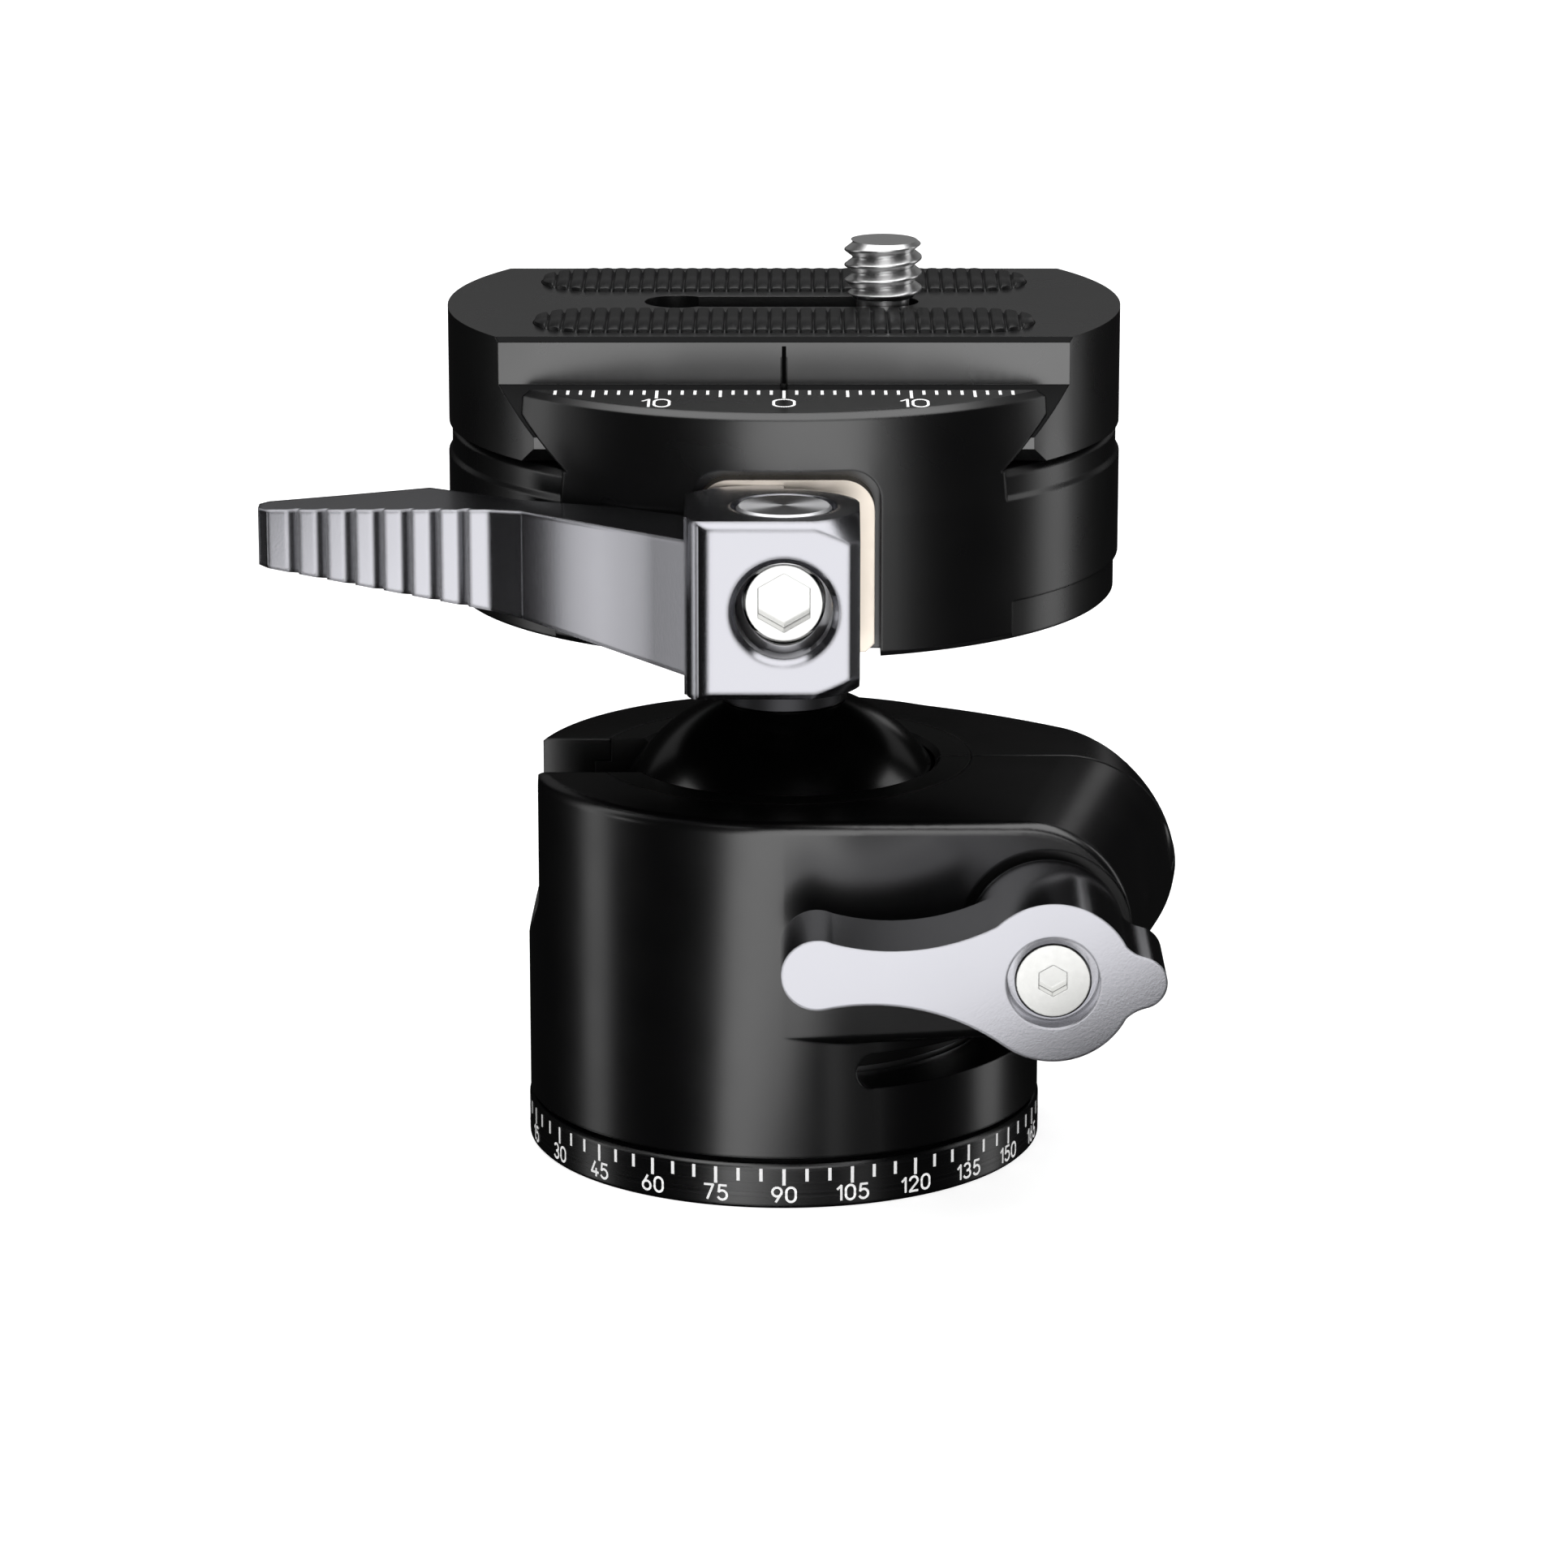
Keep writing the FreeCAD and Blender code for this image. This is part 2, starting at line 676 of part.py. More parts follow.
def housing():
    """Machined shell that pinches the ball between its two ears."""
    shell = turned("housing_shell", [
        ("plug_radius + seat_fit", "housing_bottom"),
        ("housing_radius", "housing_bottom"),
        ("housing_radius", "housing_top"),
        ("seat_neck_radius + seat_fit", "housing_top"),
        ("seat_neck_radius + seat_fit", "seat_step"),
        ("seat_radius + seat_fit", "seat_step"),
        ("seat_radius + seat_fit", "plug_top"),
        ("plug_radius + seat_fit", "plug_top"),
    ])
    cavity = turned("housing_cavity", [
        ("0", "housing_bottom"),
        ("plug_radius + seat_fit", "housing_bottom"),
        ("plug_radius + seat_fit", "plug_top"),
        ("seat_radius + seat_fit", "plug_top"),
        ("seat_radius + seat_fit", "seat_step"),
        ("seat_neck_radius + seat_fit", "seat_step"),
        ("seat_neck_radius + seat_fit", "housing_top + 1"),
        ("0", "housing_top + 1"),
    ])
    whole = less("housing_bored", joined("housing_blank", [shell] + clamping_boss()), cavity)
    DOC.recompute()
    rounded = DOC.addObject("Part::Fillet", "housing_rounded")
    rounded.Base = whole
    rounded.Edges = [(number, SIZES["boss_edge_fillet"], SIZES["boss_edge_fillet"])
                     for number, edge in enumerate(whole.Shape.Edges, start=1) if rim_edge(edge)]
    DOC.recompute()
    left = body("slot_relief")
    pad(left, outline(sketch(left, "XZ", "-housing_radius"), [
        ("-slot_flat_reach", "housing_top + 1"),
        ("-slot_flat_reach", "slot_flat_knee"),
        ("-housing_radius", "slot_flat_foot"),
        ("-housing_radius - 1", "slot_flat_foot"),
        ("-housing_radius - 1", "housing_top + 1"),
    ]), "2 * housing_radius")
    split = block("split_cut", "boss_back_reach", "split_width", "housing_top - relief_centre + 1",
                  "0", "-split_width", "relief_centre")
    slot = relief_slot()
    recess = rod("hub_recess", "hub_recess_radius", "hub_recess_depth + 1",
                 "pinch_x", "-boss_front_y + hub_recess_depth", "lock_height", ALONG_X, QUARTER)
    shaft_hole = rod("shaft_hole", "lock_shaft_radius + lock_shaft_play", "boss_front_y + 1",
                     "pinch_x", "0", "lock_height", ALONG_X, QUARTER)
    shaft_thread = rod("shaft_thread", "lock_shaft_radius + run_fit", "lock_shaft_reach + 0.5",
                       "pinch_x", "0", "lock_height", ALONG_X, "-90")
    stud_hole = rod("stud_hole", "pan_stud_radius + run_fit", "housing_radius",
                    "0", "plug_room_radius", "pan_axis_height", ALONG_X, "-90")
    tools = joined("housing_cuts", [left, portrait_slot("housing_slot", "housing_radius + 1"), split,
                                    slot, recess, shaft_hole, shaft_thread, stud_hole])
    return less("housing", rounded, tools)


def rim_edge(edge):
    """True for the outer rim on top and for the boss's front edge."""
    box = edge.BoundBox
    outside = all(math.hypot(spot.Point.x, spot.Point.y) > amount("seat_radius") + 1
                  for spot in edge.Vertexes)
    on_top = box.ZMin > amount("housing_top") - 0.01 and outside
    on_front = box.YMax < -amount("boss_front_y") + 0.01 and box.ZMax > amount("ball_centre")
    return (on_top or on_front) and box.DiagonalLength > 2.0


def relief_slot():
    """Slot under the front ear that lets it flex; it starts in a round end."""
    wall = "housing_radius - seat_radius + 2"
    sector = DOC.addObject("Part::Cylinder", "relief_sector")
    bind(sector, "Radius", "housing_radius + 1")
    bind(sector, "Height", "relief_height")
    bind(sector, "Angle", "relief_sweep")
    place(sector, z="relief_centre - relief_height / 2", axis=ALONG_Z,
          angle="relief_start_angle - 90")
    core = rod("relief_core", "seat_radius - 1", "relief_height", z="relief_centre - relief_height / 2")
    swept = less("relief_swept", sector, core)
    end = rod("relief_end", "relief_height / 2", wall,
              "(seat_radius - 1) * sin(relief_start_angle)",
              "-(seat_radius - 1) * cos(relief_start_angle)", "relief_centre")
    heading = FreeCAD.Rotation(ALONG_Z, FreeCAD.Vector(math.sin(math.radians(SIZES["relief_start_angle"])),
                                                       -math.cos(math.radians(SIZES["relief_start_angle"])), 0))
    end.Placement.Rotation = heading
    return joined("relief_slot", [swept, end])


def seat_ring():
    """Split collet of slippery plastic that grips the ball's upper half."""
    part = turned("seat_ring_blank", [
        ("seat_bore", "seat_bottom"),
        ("seat_radius", "seat_bottom"),
        ("seat_radius", "seat_step - seat_fit"),
        ("seat_neck_radius", "seat_step - seat_fit"),
        ("seat_neck_radius", "housing_top"),
        ("sqrt(seat_bore ^ 2 - (housing_top - ball_centre - seat_lead) ^ 2) + seat_lead", "housing_top"),
        ("sqrt(seat_bore ^ 2 - (housing_top - ball_centre - seat_lead) ^ 2)", "housing_top - seat_lead",
         "seat_bore", "right"),
        ("seat_bore", "ball_centre"),
    ])
    split = block("seat_split", "seat_radius + 1", "split_width", "housing_top", "0", "-split_width", "1")
    tools = joined("seat_cuts", [split, portrait_slot("seat_slot", "seat_radius + 1")])
    return less("seat_ring", part, tools)


def lower_cup():
    """Seat under the ball."""
    return turned("lower_cup", [
        ("cup_bore", "cup_bottom"),
        ("seat_radius", "cup_bottom"),
        ("seat_radius", "cup_top"),
        ("cup_land", "cup_top", "seat_bore", "right"),
        ("cup_bore", "ball_centre - sqrt(seat_bore ^ 2 - cup_bore ^ 2)"),
    ])


def cup_spring():
    """Spring washer that keeps the cup against the ball."""
    return turned("cup_spring", [
        ("spring_inner", "plug_top + spring_slack"),
        ("spring_outer", "plug_top + spring_slack"),
        ("spring_outer", "cup_bottom - spring_slack"),
        ("spring_inner", "cup_bottom - spring_slack"),
    ])


def ball():
    """The ball, turned with a flat under it."""
    flat_radius = "sqrt(ball_radius ^ 2 - (ball_radius - ball_flat) ^ 2)"
    part = turned("ball", [
        ("0", "-(ball_radius - ball_flat)"),
        (flat_radius, "-(ball_radius - ball_flat)", "ball_radius"),
        ("ball_radius", "0", "ball_radius"),
        ("0", "ball_radius"),
    ])
    return place(part, z="ball_centre")


def stem():
    """Neck between the ball and the clamp, with a threaded stub on top."""
    foot = "ball_radius + stem_seat_gap"
    flange = "clamp_bottom - ball_centre - stem_flange_height"
    part = turned("stem", [
        ("0", foot, foot, "right"),
        ("stem_radius", f"sqrt(({foot}) ^ 2 - stem_radius ^ 2)"),
        ("stem_radius", f"{flange} - stem_flare_height"),
        ("stem_flange_radius", flange),
        ("stem_flange_radius", "clamp_bottom - ball_centre"),
        ("stem_stub_radius", "clamp_bottom - ball_centre"),
        ("stem_stub_radius", "stem_top - ball_centre"),
        ("0", "stem_top - ball_centre"),
    ])
    return place(part, z="ball_centre")


def lock_washer():
    """Thrust washer between the lever's hub and the front ear."""
    part = turned("lock_washer", [
        ("lock_shaft_radius + run_fit", "boss_front_y - hub_recess_depth"),
        ("lock_washer_radius", "boss_front_y - hub_recess_depth"),
        ("lock_washer_radius", "lock_hub_back - lock_washer_play"),
        ("lock_shaft_radius + run_fit", "lock_hub_back - lock_washer_play"),
    ])
    return place(part, "pinch_x", "0", "lock_height", ALONG_X, QUARTER)


def lock_shaft():
    """Threaded shaft that the lever turns; it draws the back ear to the front one."""
    part = turned("lock_shaft", [
        ("0", "-lock_shaft_reach"),
        ("lock_shaft_radius - 0.4", "-lock_shaft_reach"),
        ("lock_shaft_radius", "-lock_shaft_reach + 0.4"),
        ("lock_shaft_radius", "lock_shaft_head"),
        ("0", "lock_shaft_head"),
    ])
    hole = ring(sketch(part, "XY", "lock_shaft_head"), "0", "0", "lock_screw_shank_radius")
    cut(part, hole, "lock_screw_length")
    return place(part, "pinch_x", "0", "lock_height", ALONG_X, QUARTER)


def lock_outline(page):
    """Front view of the lock lever about its hub: round tip, waist, hub and a small nose."""
    tip_x = "-lock_tip_x"
    return outline(page, [
        (f"{tip_x} + 1.2", "lock_tip_rise + sqrt(lock_tip_radius ^ 2 - 1.44)", "lock_tip_radius"),
        (f"{tip_x} - lock_tip_radius", "lock_tip_rise", "lock_tip_radius"),
        (f"{tip_x} + 0.5", "lock_tip_rise - sqrt(lock_tip_radius ^ 2 - 0.25)", "lock_waist_radius", "right"),
        ("-lock_hub_radius * 0.58", "-lock_hub_radius * 0.8146", "lock_hub_radius"),
        ("lock_hub_radius * 0.78", "-lock_hub_radius * 0.6258", "3.2", "right"),
        ("lock_nose_x + 0.4", "-sqrt(lock_nose_radius ^ 2 - 0.16)", "lock_nose_radius"),
        ("lock_nose_x + 0.4", "sqrt(lock_nose_radius ^ 2 - 0.16)", "3.2", "right"),
        ("lock_hub_radius * 0.78", "lock_hub_radius * 0.6258", "lock_hub_radius"),
        ("-lock_hub_radius * 0.70", "lock_hub_radius * 0.7141", "lock_waist_radius", "right"),
    ])


def lock_lever():
    """Flat machined lever on the lock shaft."""
    part = body("lock_lever")
    pad(part, lock_outline(sketch(part, "XY", "lock_arm_back")), "lock_front - lock_arm_back")
    hub = ring(sketch(part, "XY", "lock_hub_back"), "0", "0", "lock_hub_radius")
    pad(part, hub, "lock_front - lock_hub_back")
    bore = ring(sketch(part, "XY", "lock_hub_back"), "0", "0", "lock_shaft_radius")
    cut(part, bore, "lock_shaft_head - lock_hub_back", backwards=True)
    screw = ring(sketch(part, "XY", "lock_front"), "0", "0", "lock_screw_shank_radius + run_fit")
    cut(part, screw, "lock_front - lock_shaft_head")
    head = ring(sketch(part, "XY", "lock_front"), "0", "0", "lock_screw_recess_radius")
    cut(part, head, "lock_screw_head_height + lock_screw_sunk")
    return place(part, "pinch_x", "0", "lock_height", ALONG_X, QUARTER)


def lock_screw():
    """Screw that holds the lever on the shaft."""
    part = turned("lock_screw", [
        ("0", "lock_shaft_head - lock_screw_length + run_fit"),
        ("lock_screw_shank_radius", "lock_shaft_head - lock_screw_length + run_fit"),
        ("lock_screw_shank_radius", "lock_front - lock_screw_sunk - lock_screw_head_height"),
        ("lock_screw_head_radius", "lock_front - lock_screw_sunk - lock_screw_head_height"),
        ("lock_screw_head_radius", "lock_front - lock_screw_sunk - 0.15"),
        ("lock_screw_head_radius - 0.15", "lock_front - lock_screw_sunk"),
        ("0", "lock_front - lock_screw_sunk"),
    ])
    cut(part, hexagon(sketch(part, "XY", "lock_front - lock_screw_sunk"), "0", "0", "lock_screw_hex"), "1.2")
    return place(part, "pinch_x", "0", "lock_height", ALONG_X, QUARTER)


def pan_pad():
    """Brass plug that the pan stud presses on the keeper's rim."""
    return rod("pan_pad", "pan_stud_radius", "pan_pad_length",
               "0", "pan_pad_front", "pan_axis_height", ALONG_X, "-90")


def pan_stud():
    """Threaded stud of the panning lock."""
    start = "pan_pad_front + pan_pad_length"
    return rod("pan_stud", "pan_stud_radius", f"pan_knob_start + pan_knob_length - 2 - ({start})",
               "0", start, "pan_axis_height", ALONG_X, "-90")


def pan_knob():
    """Fluted thumb knob of the panning lock, on the back."""
    end = "pan_knob_start + pan_knob_length"
    part = turned("pan_knob", [
        ("pan_stud_radius", "pan_knob_start"),
        ("pan_knob_radius - 1.6", "pan_knob_start"),
        ("pan_knob_radius - 1.6", "pan_knob_start + 1.2"),
        ("pan_knob_radius - 0.4", "pan_knob_start + 1.2"),
        ("pan_knob_radius", "pan_knob_start + 1.6"),
        ("pan_knob_radius", f"{end} - 0.5"),
        ("pan_knob_radius - 0.5", end),
        ("0", end),
        ("0", f"{end} - 2"),
        ("pan_stud_radius", f"{end} - 2"),
    ])
    flute = ring(sketch(part, "XY", "pan_knob_start + 1.2"), "pan_knob_radius + 0.25", "0",
                 "pan_knob_flute_radius")
    around(part, cut(part, flute, "pan_knob_length", backwards=True), "pan_knob_flutes")
    return place(part, "0", "0", "pan_axis_height", ALONG_X, "-90")


def clamp_body():
    """Round clamp platform with the fixed front jaw."""
    core = turned("clamp_core", [
        ("stem_stub_radius + run_fit", "clamp_bottom"),
        ("clamp_radius - clamp_edge_bevel", "clamp_bottom"),
        ("clamp_radius", "clamp_bottom + clamp_edge_bevel"),
        ("clamp_radius", "clamp_shoulder"),
        ("clamp_ring_radius", "clamp_shoulder + 0.4"),
        ("clamp_ring_radius", "clamp_ring_top"),
        ("clamp_neck_radius", "clamp_floor"),
        ("0", "clamp_floor"),
        ("0", "stem_top"),
        ("stem_stub_radius + run_fit", "stem_top"),
    ])
    return trimmed_clamp("clamp_body", core, front_jaw(), clamp_cuts())


def jaw_band(name):
    """The round outline that both jaws share above the clamp's shoulder."""
    return turned(name, [
        ("rear_split", "clamp_shoulder"),
        ("clamp_radius", "clamp_shoulder"),
        ("jaw_top_radius", "jaw_top - jaw_edge_bevel"),
        ("jaw_top_radius - jaw_edge_bevel", "jaw_top"),
        ("rear_split", "jaw_top"),
    ])


def jaw_prism(name, sign):
    """Cross-section of a jaw: outer block, undercut flank and land, run along the plate's groove."""
    tool = body(name)
    far = f"{sign}(clamp_radius + 1)"
    corners = [
        (far, "clamp_shoulder"),
        (f"{sign}jaw_step_y", "clamp_shoulder"),
        (f"{sign}jaw_step_y", "clamp_floor"),
        (f"{sign}jaw_foot_y", "clamp_floor"),
        (f"{sign}jaw_land", "jaw_land_foot"),
        (f"{sign}jaw_land", "jaw_top"),
        (far, "jaw_top"),
    ]
    pad(tool, outline(sketch(tool, "YZ", "-clamp_radius"), corners), "2 * clamp_radius")
    return tool


def front_jaw():
    return shared("front_jaw", [jaw_band("front_band"), jaw_prism("front_prism", "-")])


def clamp_cuts():
    """Everything cut out of the platform: pad pocket, bolt, pin and spring holes and side bands."""
    pocket = pad_shape("pad_pocket", "pad_back", "clamp_radius + 1", "0", "0", "(clamp_bottom - 1)",
                       "pad_foot_bevel")
    bolt = rod("bolt_hole", "draw_bolt_radius + draw_bolt_play", "2 * clamp_radius",
               "0", "-clamp_radius", "cam_height", ALONG_X, "-90")
    grub = rod("grub_hole", "grub_radius", "rear_split", "0", "stem_stub_radius",
               "clamp_bottom + stem_stub_height / 2", ALONG_X, "-90")
    holes = [pocket, bolt, grub]
    for side in ("", "-"):
        label = "left" if side else "right"
        holes.append(rod("pin_hole_" + label, "guide_pin_radius", "clamp_radius",
                         side + "guide_pin_x", "guide_pin_front", "guide_pin_height", ALONG_X, "-90"))
        holes.append(rod("spring_hole_" + label, "jaw_spring_radius + jaw_spring_room", "clamp_radius",
                         side + "jaw_spring_x", "jaw_spring_front", "guide_pin_height", ALONG_X, "-90"))
    holes.append(side_bands())
    return holes


def side_bands():
    """Shallow bands milled low on both sides."""
    band = turned("band_ring", [
        ("clamp_radius - clamp_band_depth", "clamp_bottom - 1"),
        ("clamp_radius + 1", "clamp_bottom - 1"),
        ("clamp_radius + 1", "clamp_band_top"),
        ("clamp_radius - clamp_band_depth", "clamp_band_top"),
    ])
    middle = block("band_middle", "2 * clamp_band_half_width", "3 * clamp_radius", "clamp_band_top",
                   "-clamp_band_half_width", "-1.5 * clamp_radius", "1")
    return less("side_bands", band, middle)


def trimmed_clamp(name, core, jaw, holes):
    """The platform without its rear segment, which is the moving jaw."""
    blank = joined(name + "_blank", [core, jaw])
    rear = block(name + "_rear", "2 * clamp_radius + 2", "clamp_radius", "jaw_top",
                 "-clamp_radius - 1", "rear_split", "1")
    return less(name, blank, joined(name + "_cuts", holes + [rear]))


def rear_jaw():
    """Rear segment of the platform, drawn in by the bolt to grip the plate."""
    core = turned("rear_core", [
        ("0", "clamp_bottom"),
        ("clamp_radius - clamp_edge_bevel", "clamp_bottom"),
        ("clamp_radius", "clamp_bottom + clamp_edge_bevel"),
        ("clamp_radius", "clamp_shoulder"),
        ("clamp_ring_radius", "clamp_shoulder + 0.4"),
        ("clamp_ring_radius", "clamp_ring_top"),
        ("clamp_neck_radius", "clamp_floor"),
        ("0", "clamp_floor"),
    ])
    lip = shared("rear_lip", [jaw_band("rear_band"), jaw_prism("rear_prism", "")])
    blank = joined("rear_blank", [core, lip])
    keep = block("rear_keep", "2 * clamp_radius + 2", "clamp_radius", "jaw_top",
                 "-clamp_radius - 1", "rear_face", "1")
    holes = [rod("rear_bolt_hole", "draw_bolt_radius", "draw_bolt_back", "0", "0", "cam_height",
                 ALONG_X, "-90")]
    for side in ("", "-"):
        label = "left" if side else "right"
        holes.append(rod("rear_pin_hole_" + label, "guide_pin_radius + run_fit",
                         "guide_pin_back + 0.3", side + "guide_pin_x", "0", "guide_pin_height",
                         ALONG_X, "-90"))
        holes.append(rod("rear_spring_hole_" + label, "jaw_spring_radius + jaw_spring_room",
                         "jaw_spring_back + 0.05", side + "jaw_spring_x", "0", "guide_pin_height",
                         ALONG_X, "-90"))
    return less("rear_jaw", shared("rear_segment", [blank, keep]), joined("rear_cuts", holes))


def guide_pins():
    """Dowels that keep the rear jaw square."""
    return group("guide_pins", [
        rod("guide_pin_" + label, "guide_pin_radius", "guide_pin_back - guide_pin_front",
            side + "guide_pin_x", "guide_pin_front", "guide_pin_height", ALONG_X, "-90")
        for side, label in (("", "right"), ("-", "left"))])


def jaw_springs():
    """Springs that push the rear jaw open."""
    return group("jaw_springs", [
        rod("jaw_spring_" + label, "jaw_spring_radius", "jaw_spring_back - jaw_spring_front",
            side + "jaw_spring_x", "jaw_spring_front", "guide_pin_height", ALONG_X, "-90")
        for side, label in (("", "right"), ("-", "left"))])


def stem_grub():
    """Grub screw that locks the stem in the clamp."""
    return rod("stem_grub", "grub_radius", "grub_length", "0", "stem_stub_radius + run_fit",
               "clamp_bottom + stem_stub_height / 2", ALONG_X, "-90")


def pad_shape(name, back, front, shrink, drop, foot, bevel):
    """Round-shouldered plate standing across the front, from back to front."""
    tool = body(name)
    left = f"-(pad_left - {shrink})"
    right = f"(pad_right - {shrink})"
    top = f"(pad_top - {drop})"
    pad(tool, outline(sketch(tool, "XZ", back), [
        (left, f"{foot} + {bevel}"),
        (f"{left} + {bevel}", foot),
        (f"{right} - {bevel}", foot),
        (right, f"{foot} + {bevel}"),
        (right, f"{top} - pad_corner", "pad_corner"),
        (f"{right} - pad_corner", top),
        (f"{left} + pad_corner", top, "pad_corner"),
        (left, f"{top} - pad_corner"),
    ]), f"{front} - {back}")
    return tool


def thrust_pad():
    """Bronze pad that the cam rubs on."""
    plate_part = pad_shape("thrust_pad_blank", "pad_back", "pad_front", "pad_fit", "pad_drop",
                           "pad_bottom", "pad_foot_bevel")
    hole = rod("pad_bolt_hole", "draw_bolt_radius + draw_bolt_play", "clamp_radius",
               "0", "-clamp_radius", "cam_height", ALONG_X, "-90")
    return less("thrust_pad", plate_part, hole)


def draw_bolt():
    """Bolt from the barrel pin through the platform into the rear jaw."""
    part = turned("draw_bolt", [
        ("0", "-draw_bolt_back"),
        ("draw_bolt_radius", "-draw_bolt_back"),
        ("draw_bolt_radius", "draw_head_front - draw_head_height"),
        ("draw_head_radius", "draw_head_front - draw_head_height"),
        ("draw_head_radius", "draw_head_front - 0.2"),
        ("draw_head_radius - 0.2", "draw_head_front"),
        ("0", "draw_head_front"),
    ])
    cut(part, hexagon(sketch(part, "XY", "draw_head_front"), "0", "0", "draw_hex"), "1.6")
    return place(part, "0", "0", "cam_height", ALONG_X, QUARTER)


def barrel_pin():
    """Pin that the lever turns on; the draw bolt pulls on it."""
    pin = turned("barrel_pin_blank", [
        ("0", "pin_bottom"),
        ("pin_head_radius", "pin_bottom"),
        ("pin_head_radius", "pin_bottom + pin_head_height"),
        ("pin_radius", "pin_bottom + pin_head_height"),
        ("pin_radius", "pin_top - 0.2"),
        ("pin_radius - 0.2", "pin_top"),
        ("0", "pin_top"),
    ])
    place(pin, y="-pin_y")
    shank = rod("pin_cross_hole", "draw_bolt_radius", "2 * pin_radius + 4",
                "0", "-pin_y - pin_radius - 2", "cam_height", ALONG_X, "-90")
    head = rod("pin_head_hole", "draw_head_radius + run_fit", "pin_radius + 2",
               "0", "-(draw_head_front - draw_head_height)", "cam_height", ALONG_X, QUARTER)
    return less("barrel_pin", pin, joined("pin_cuts", [shank, head]))


def lever_plan():
    """Plan of the clamp lever's handle, block and eccentric cam."""
    gap_radius = "(clamp_radius + handle_body_gap)"
    root_x = "handle_neck_x * 0.62"
    return [
        ("block_right - block_side_bevel", "-block_front"),
        ("block_right", "-block_front + block_side_bevel"),
        ("block_right", "-pin_y + sqrt(cam_radius ^ 2 - (block_right + cam_throw) ^ 2)", "cam_radius"),
        ("-cam_throw", "-pin_y + cam_radius", "cam_radius"),
        ("-cam_throw - cam_radius * 0.81", "-pin_y + cam_radius * sqrt(1 - 0.81 ^ 2)"),
        (f"-({root_x})", f"-sqrt({gap_radius} ^ 2 - ({root_x}) ^ 2)"),
        ("-handle_neck_x", "-handle_neck_y + 4.2"),
        ("-handle_neck_x - 7.6", "-handle_face_y + 7.9"),
        ("-handle_tip_x + 6.3", "-handle_face_y + 5.1"),
        ("-handle_tip_x + 0.7", "-handle_face_y + 2.9"),
        ("-handle_tip_x", "-handle_face_y + 2.0"),
        ("-handle_tip_x", "-handle_face_y + 0.4"),
        ("-handle_tip_x + 0.8", "-handle_face_y - 0.3"),
        ("-handle_neck_x - 2.6", "-handle_face_y - 0.3"),
        ("-handle_neck_x", "-handle_neck_y"),
        ("-block_left", "-block_front + block_corner_round", "block_corner_round"),
        ("-block_left + block_corner_round", "-block_front"),
    ]


def clamp_lever():
    """Cam lever of the plate clamp with its ridged, tapering handle."""
    part = body("clamp_lever_blank")
    pad(part, outline(sketch(part, "XY", "block_bottom"), lever_plan()), "block_top - block_bottom")
    over = outline(sketch(part, "XZ", "-pin_y + pin_y"), [
        ("-block_left - 0.2", "handle_top"),
        ("-block_left - 0.2", "block_top + 1"),
        ("-handle_tip_x - 1", "block_top + 1"),
        ("-handle_tip_x - 1", "handle_top"),
    ])
    cut(part, over, "2 * block_front", backwards=True)
    under = outline(sketch(part, "XZ"), [
        ("-block_left - 0.2", "block_bottom - 1"),
        ("-block_left - 0.2", "handle_root_bottom"),
        ("-handle_neck_x", "handle_neck_bottom"),
        ("-handle_tip_x", "handle_tip_bottom + 0.3"),
        ("-handle_tip_x - 1", "handle_tip_bottom + 0.6"),
        ("-handle_tip_x - 1", "block_bottom - 1"),
    ])
    cut(part, under, "2 * block_front", backwards=True)
    return bored_lever(part)


def bored_lever(part):
    """Cut the pin bore, bolt window, front bore and finger ridges."""
    bore = ring(sketch(part, "XY", "block_bottom"), "0", "-pin_y", "pin_radius + run_fit")
    cut(part, bore, "block_top - block_bottom", backwards=True)
    top = ring(sketch(part, "XY", "block_top"), "0", "-pin_y", "block_top_recess_radius")
    cut(part, top, "block_top_recess")
    front = ring(sketch(part, "XZ", "block_front"), "0", "cam_height", "block_bore_radius")
    cut(part, front, "block_front - pin_y")
    for level, up in (("block_top", "-"), ("block_bottom", "")):
        edge = outline(sketch(part, "YZ", "-block_left - 1"), [
            ("-block_front - 1", level),
            ("-block_front + block_edge_bevel", level),
            ("-block_front", f"{level} {up or '+'} block_edge_bevel"),
            ("-block_front - 1", f"{level} {up or '+'} block_edge_bevel"),
        ][::-1 if up else 1])
        cut(part, edge, "2 * block_left + 2", backwards=True)
        turned_corner(part, level, up or "+")
    room = "(draw_head_radius + block_head_room)"
    swing = ring(sketch(part, "XY", f"cam_height - {room}"), "0", "-pin_y",
                 "sqrt((draw_head_front - pin_y) ^ 2 + draw_head_radius ^ 2) + block_head_room")
    cut(part, swing, f"2 * {room}", backwards=True)
    rim = outline(sketch(part, "XY", "cam_height"), [
        ("0", "-block_front - 1"),
        ("block_bore_rim_radius + 1", "-block_front - 1"),
        ("block_bore_radius", "-block_front + block_bore_rim_radius - block_bore_radius"),
        ("0", "-block_front + block_bore_rim_radius - block_bore_radius"),
    ])
    turn(part, rim, "Groove")
    room = "(draw_bolt_radius + draw_bolt_play)"
    window = outline(sketch(part, "XY", f"cam_height - {room}"), [
        (f"-{room}", f"-pin_y - {room}"),
        ("cam_radius + 1", f"-pin_y - {room}"),
        ("cam_radius + 1", "-pin_y + cam_radius + 1"),
        (f"-{room}", "-pin_y + cam_radius + 1"),
    ])
    cut(part, window, f"2 * {room}", backwards=True)
    return finger_ridges(part)


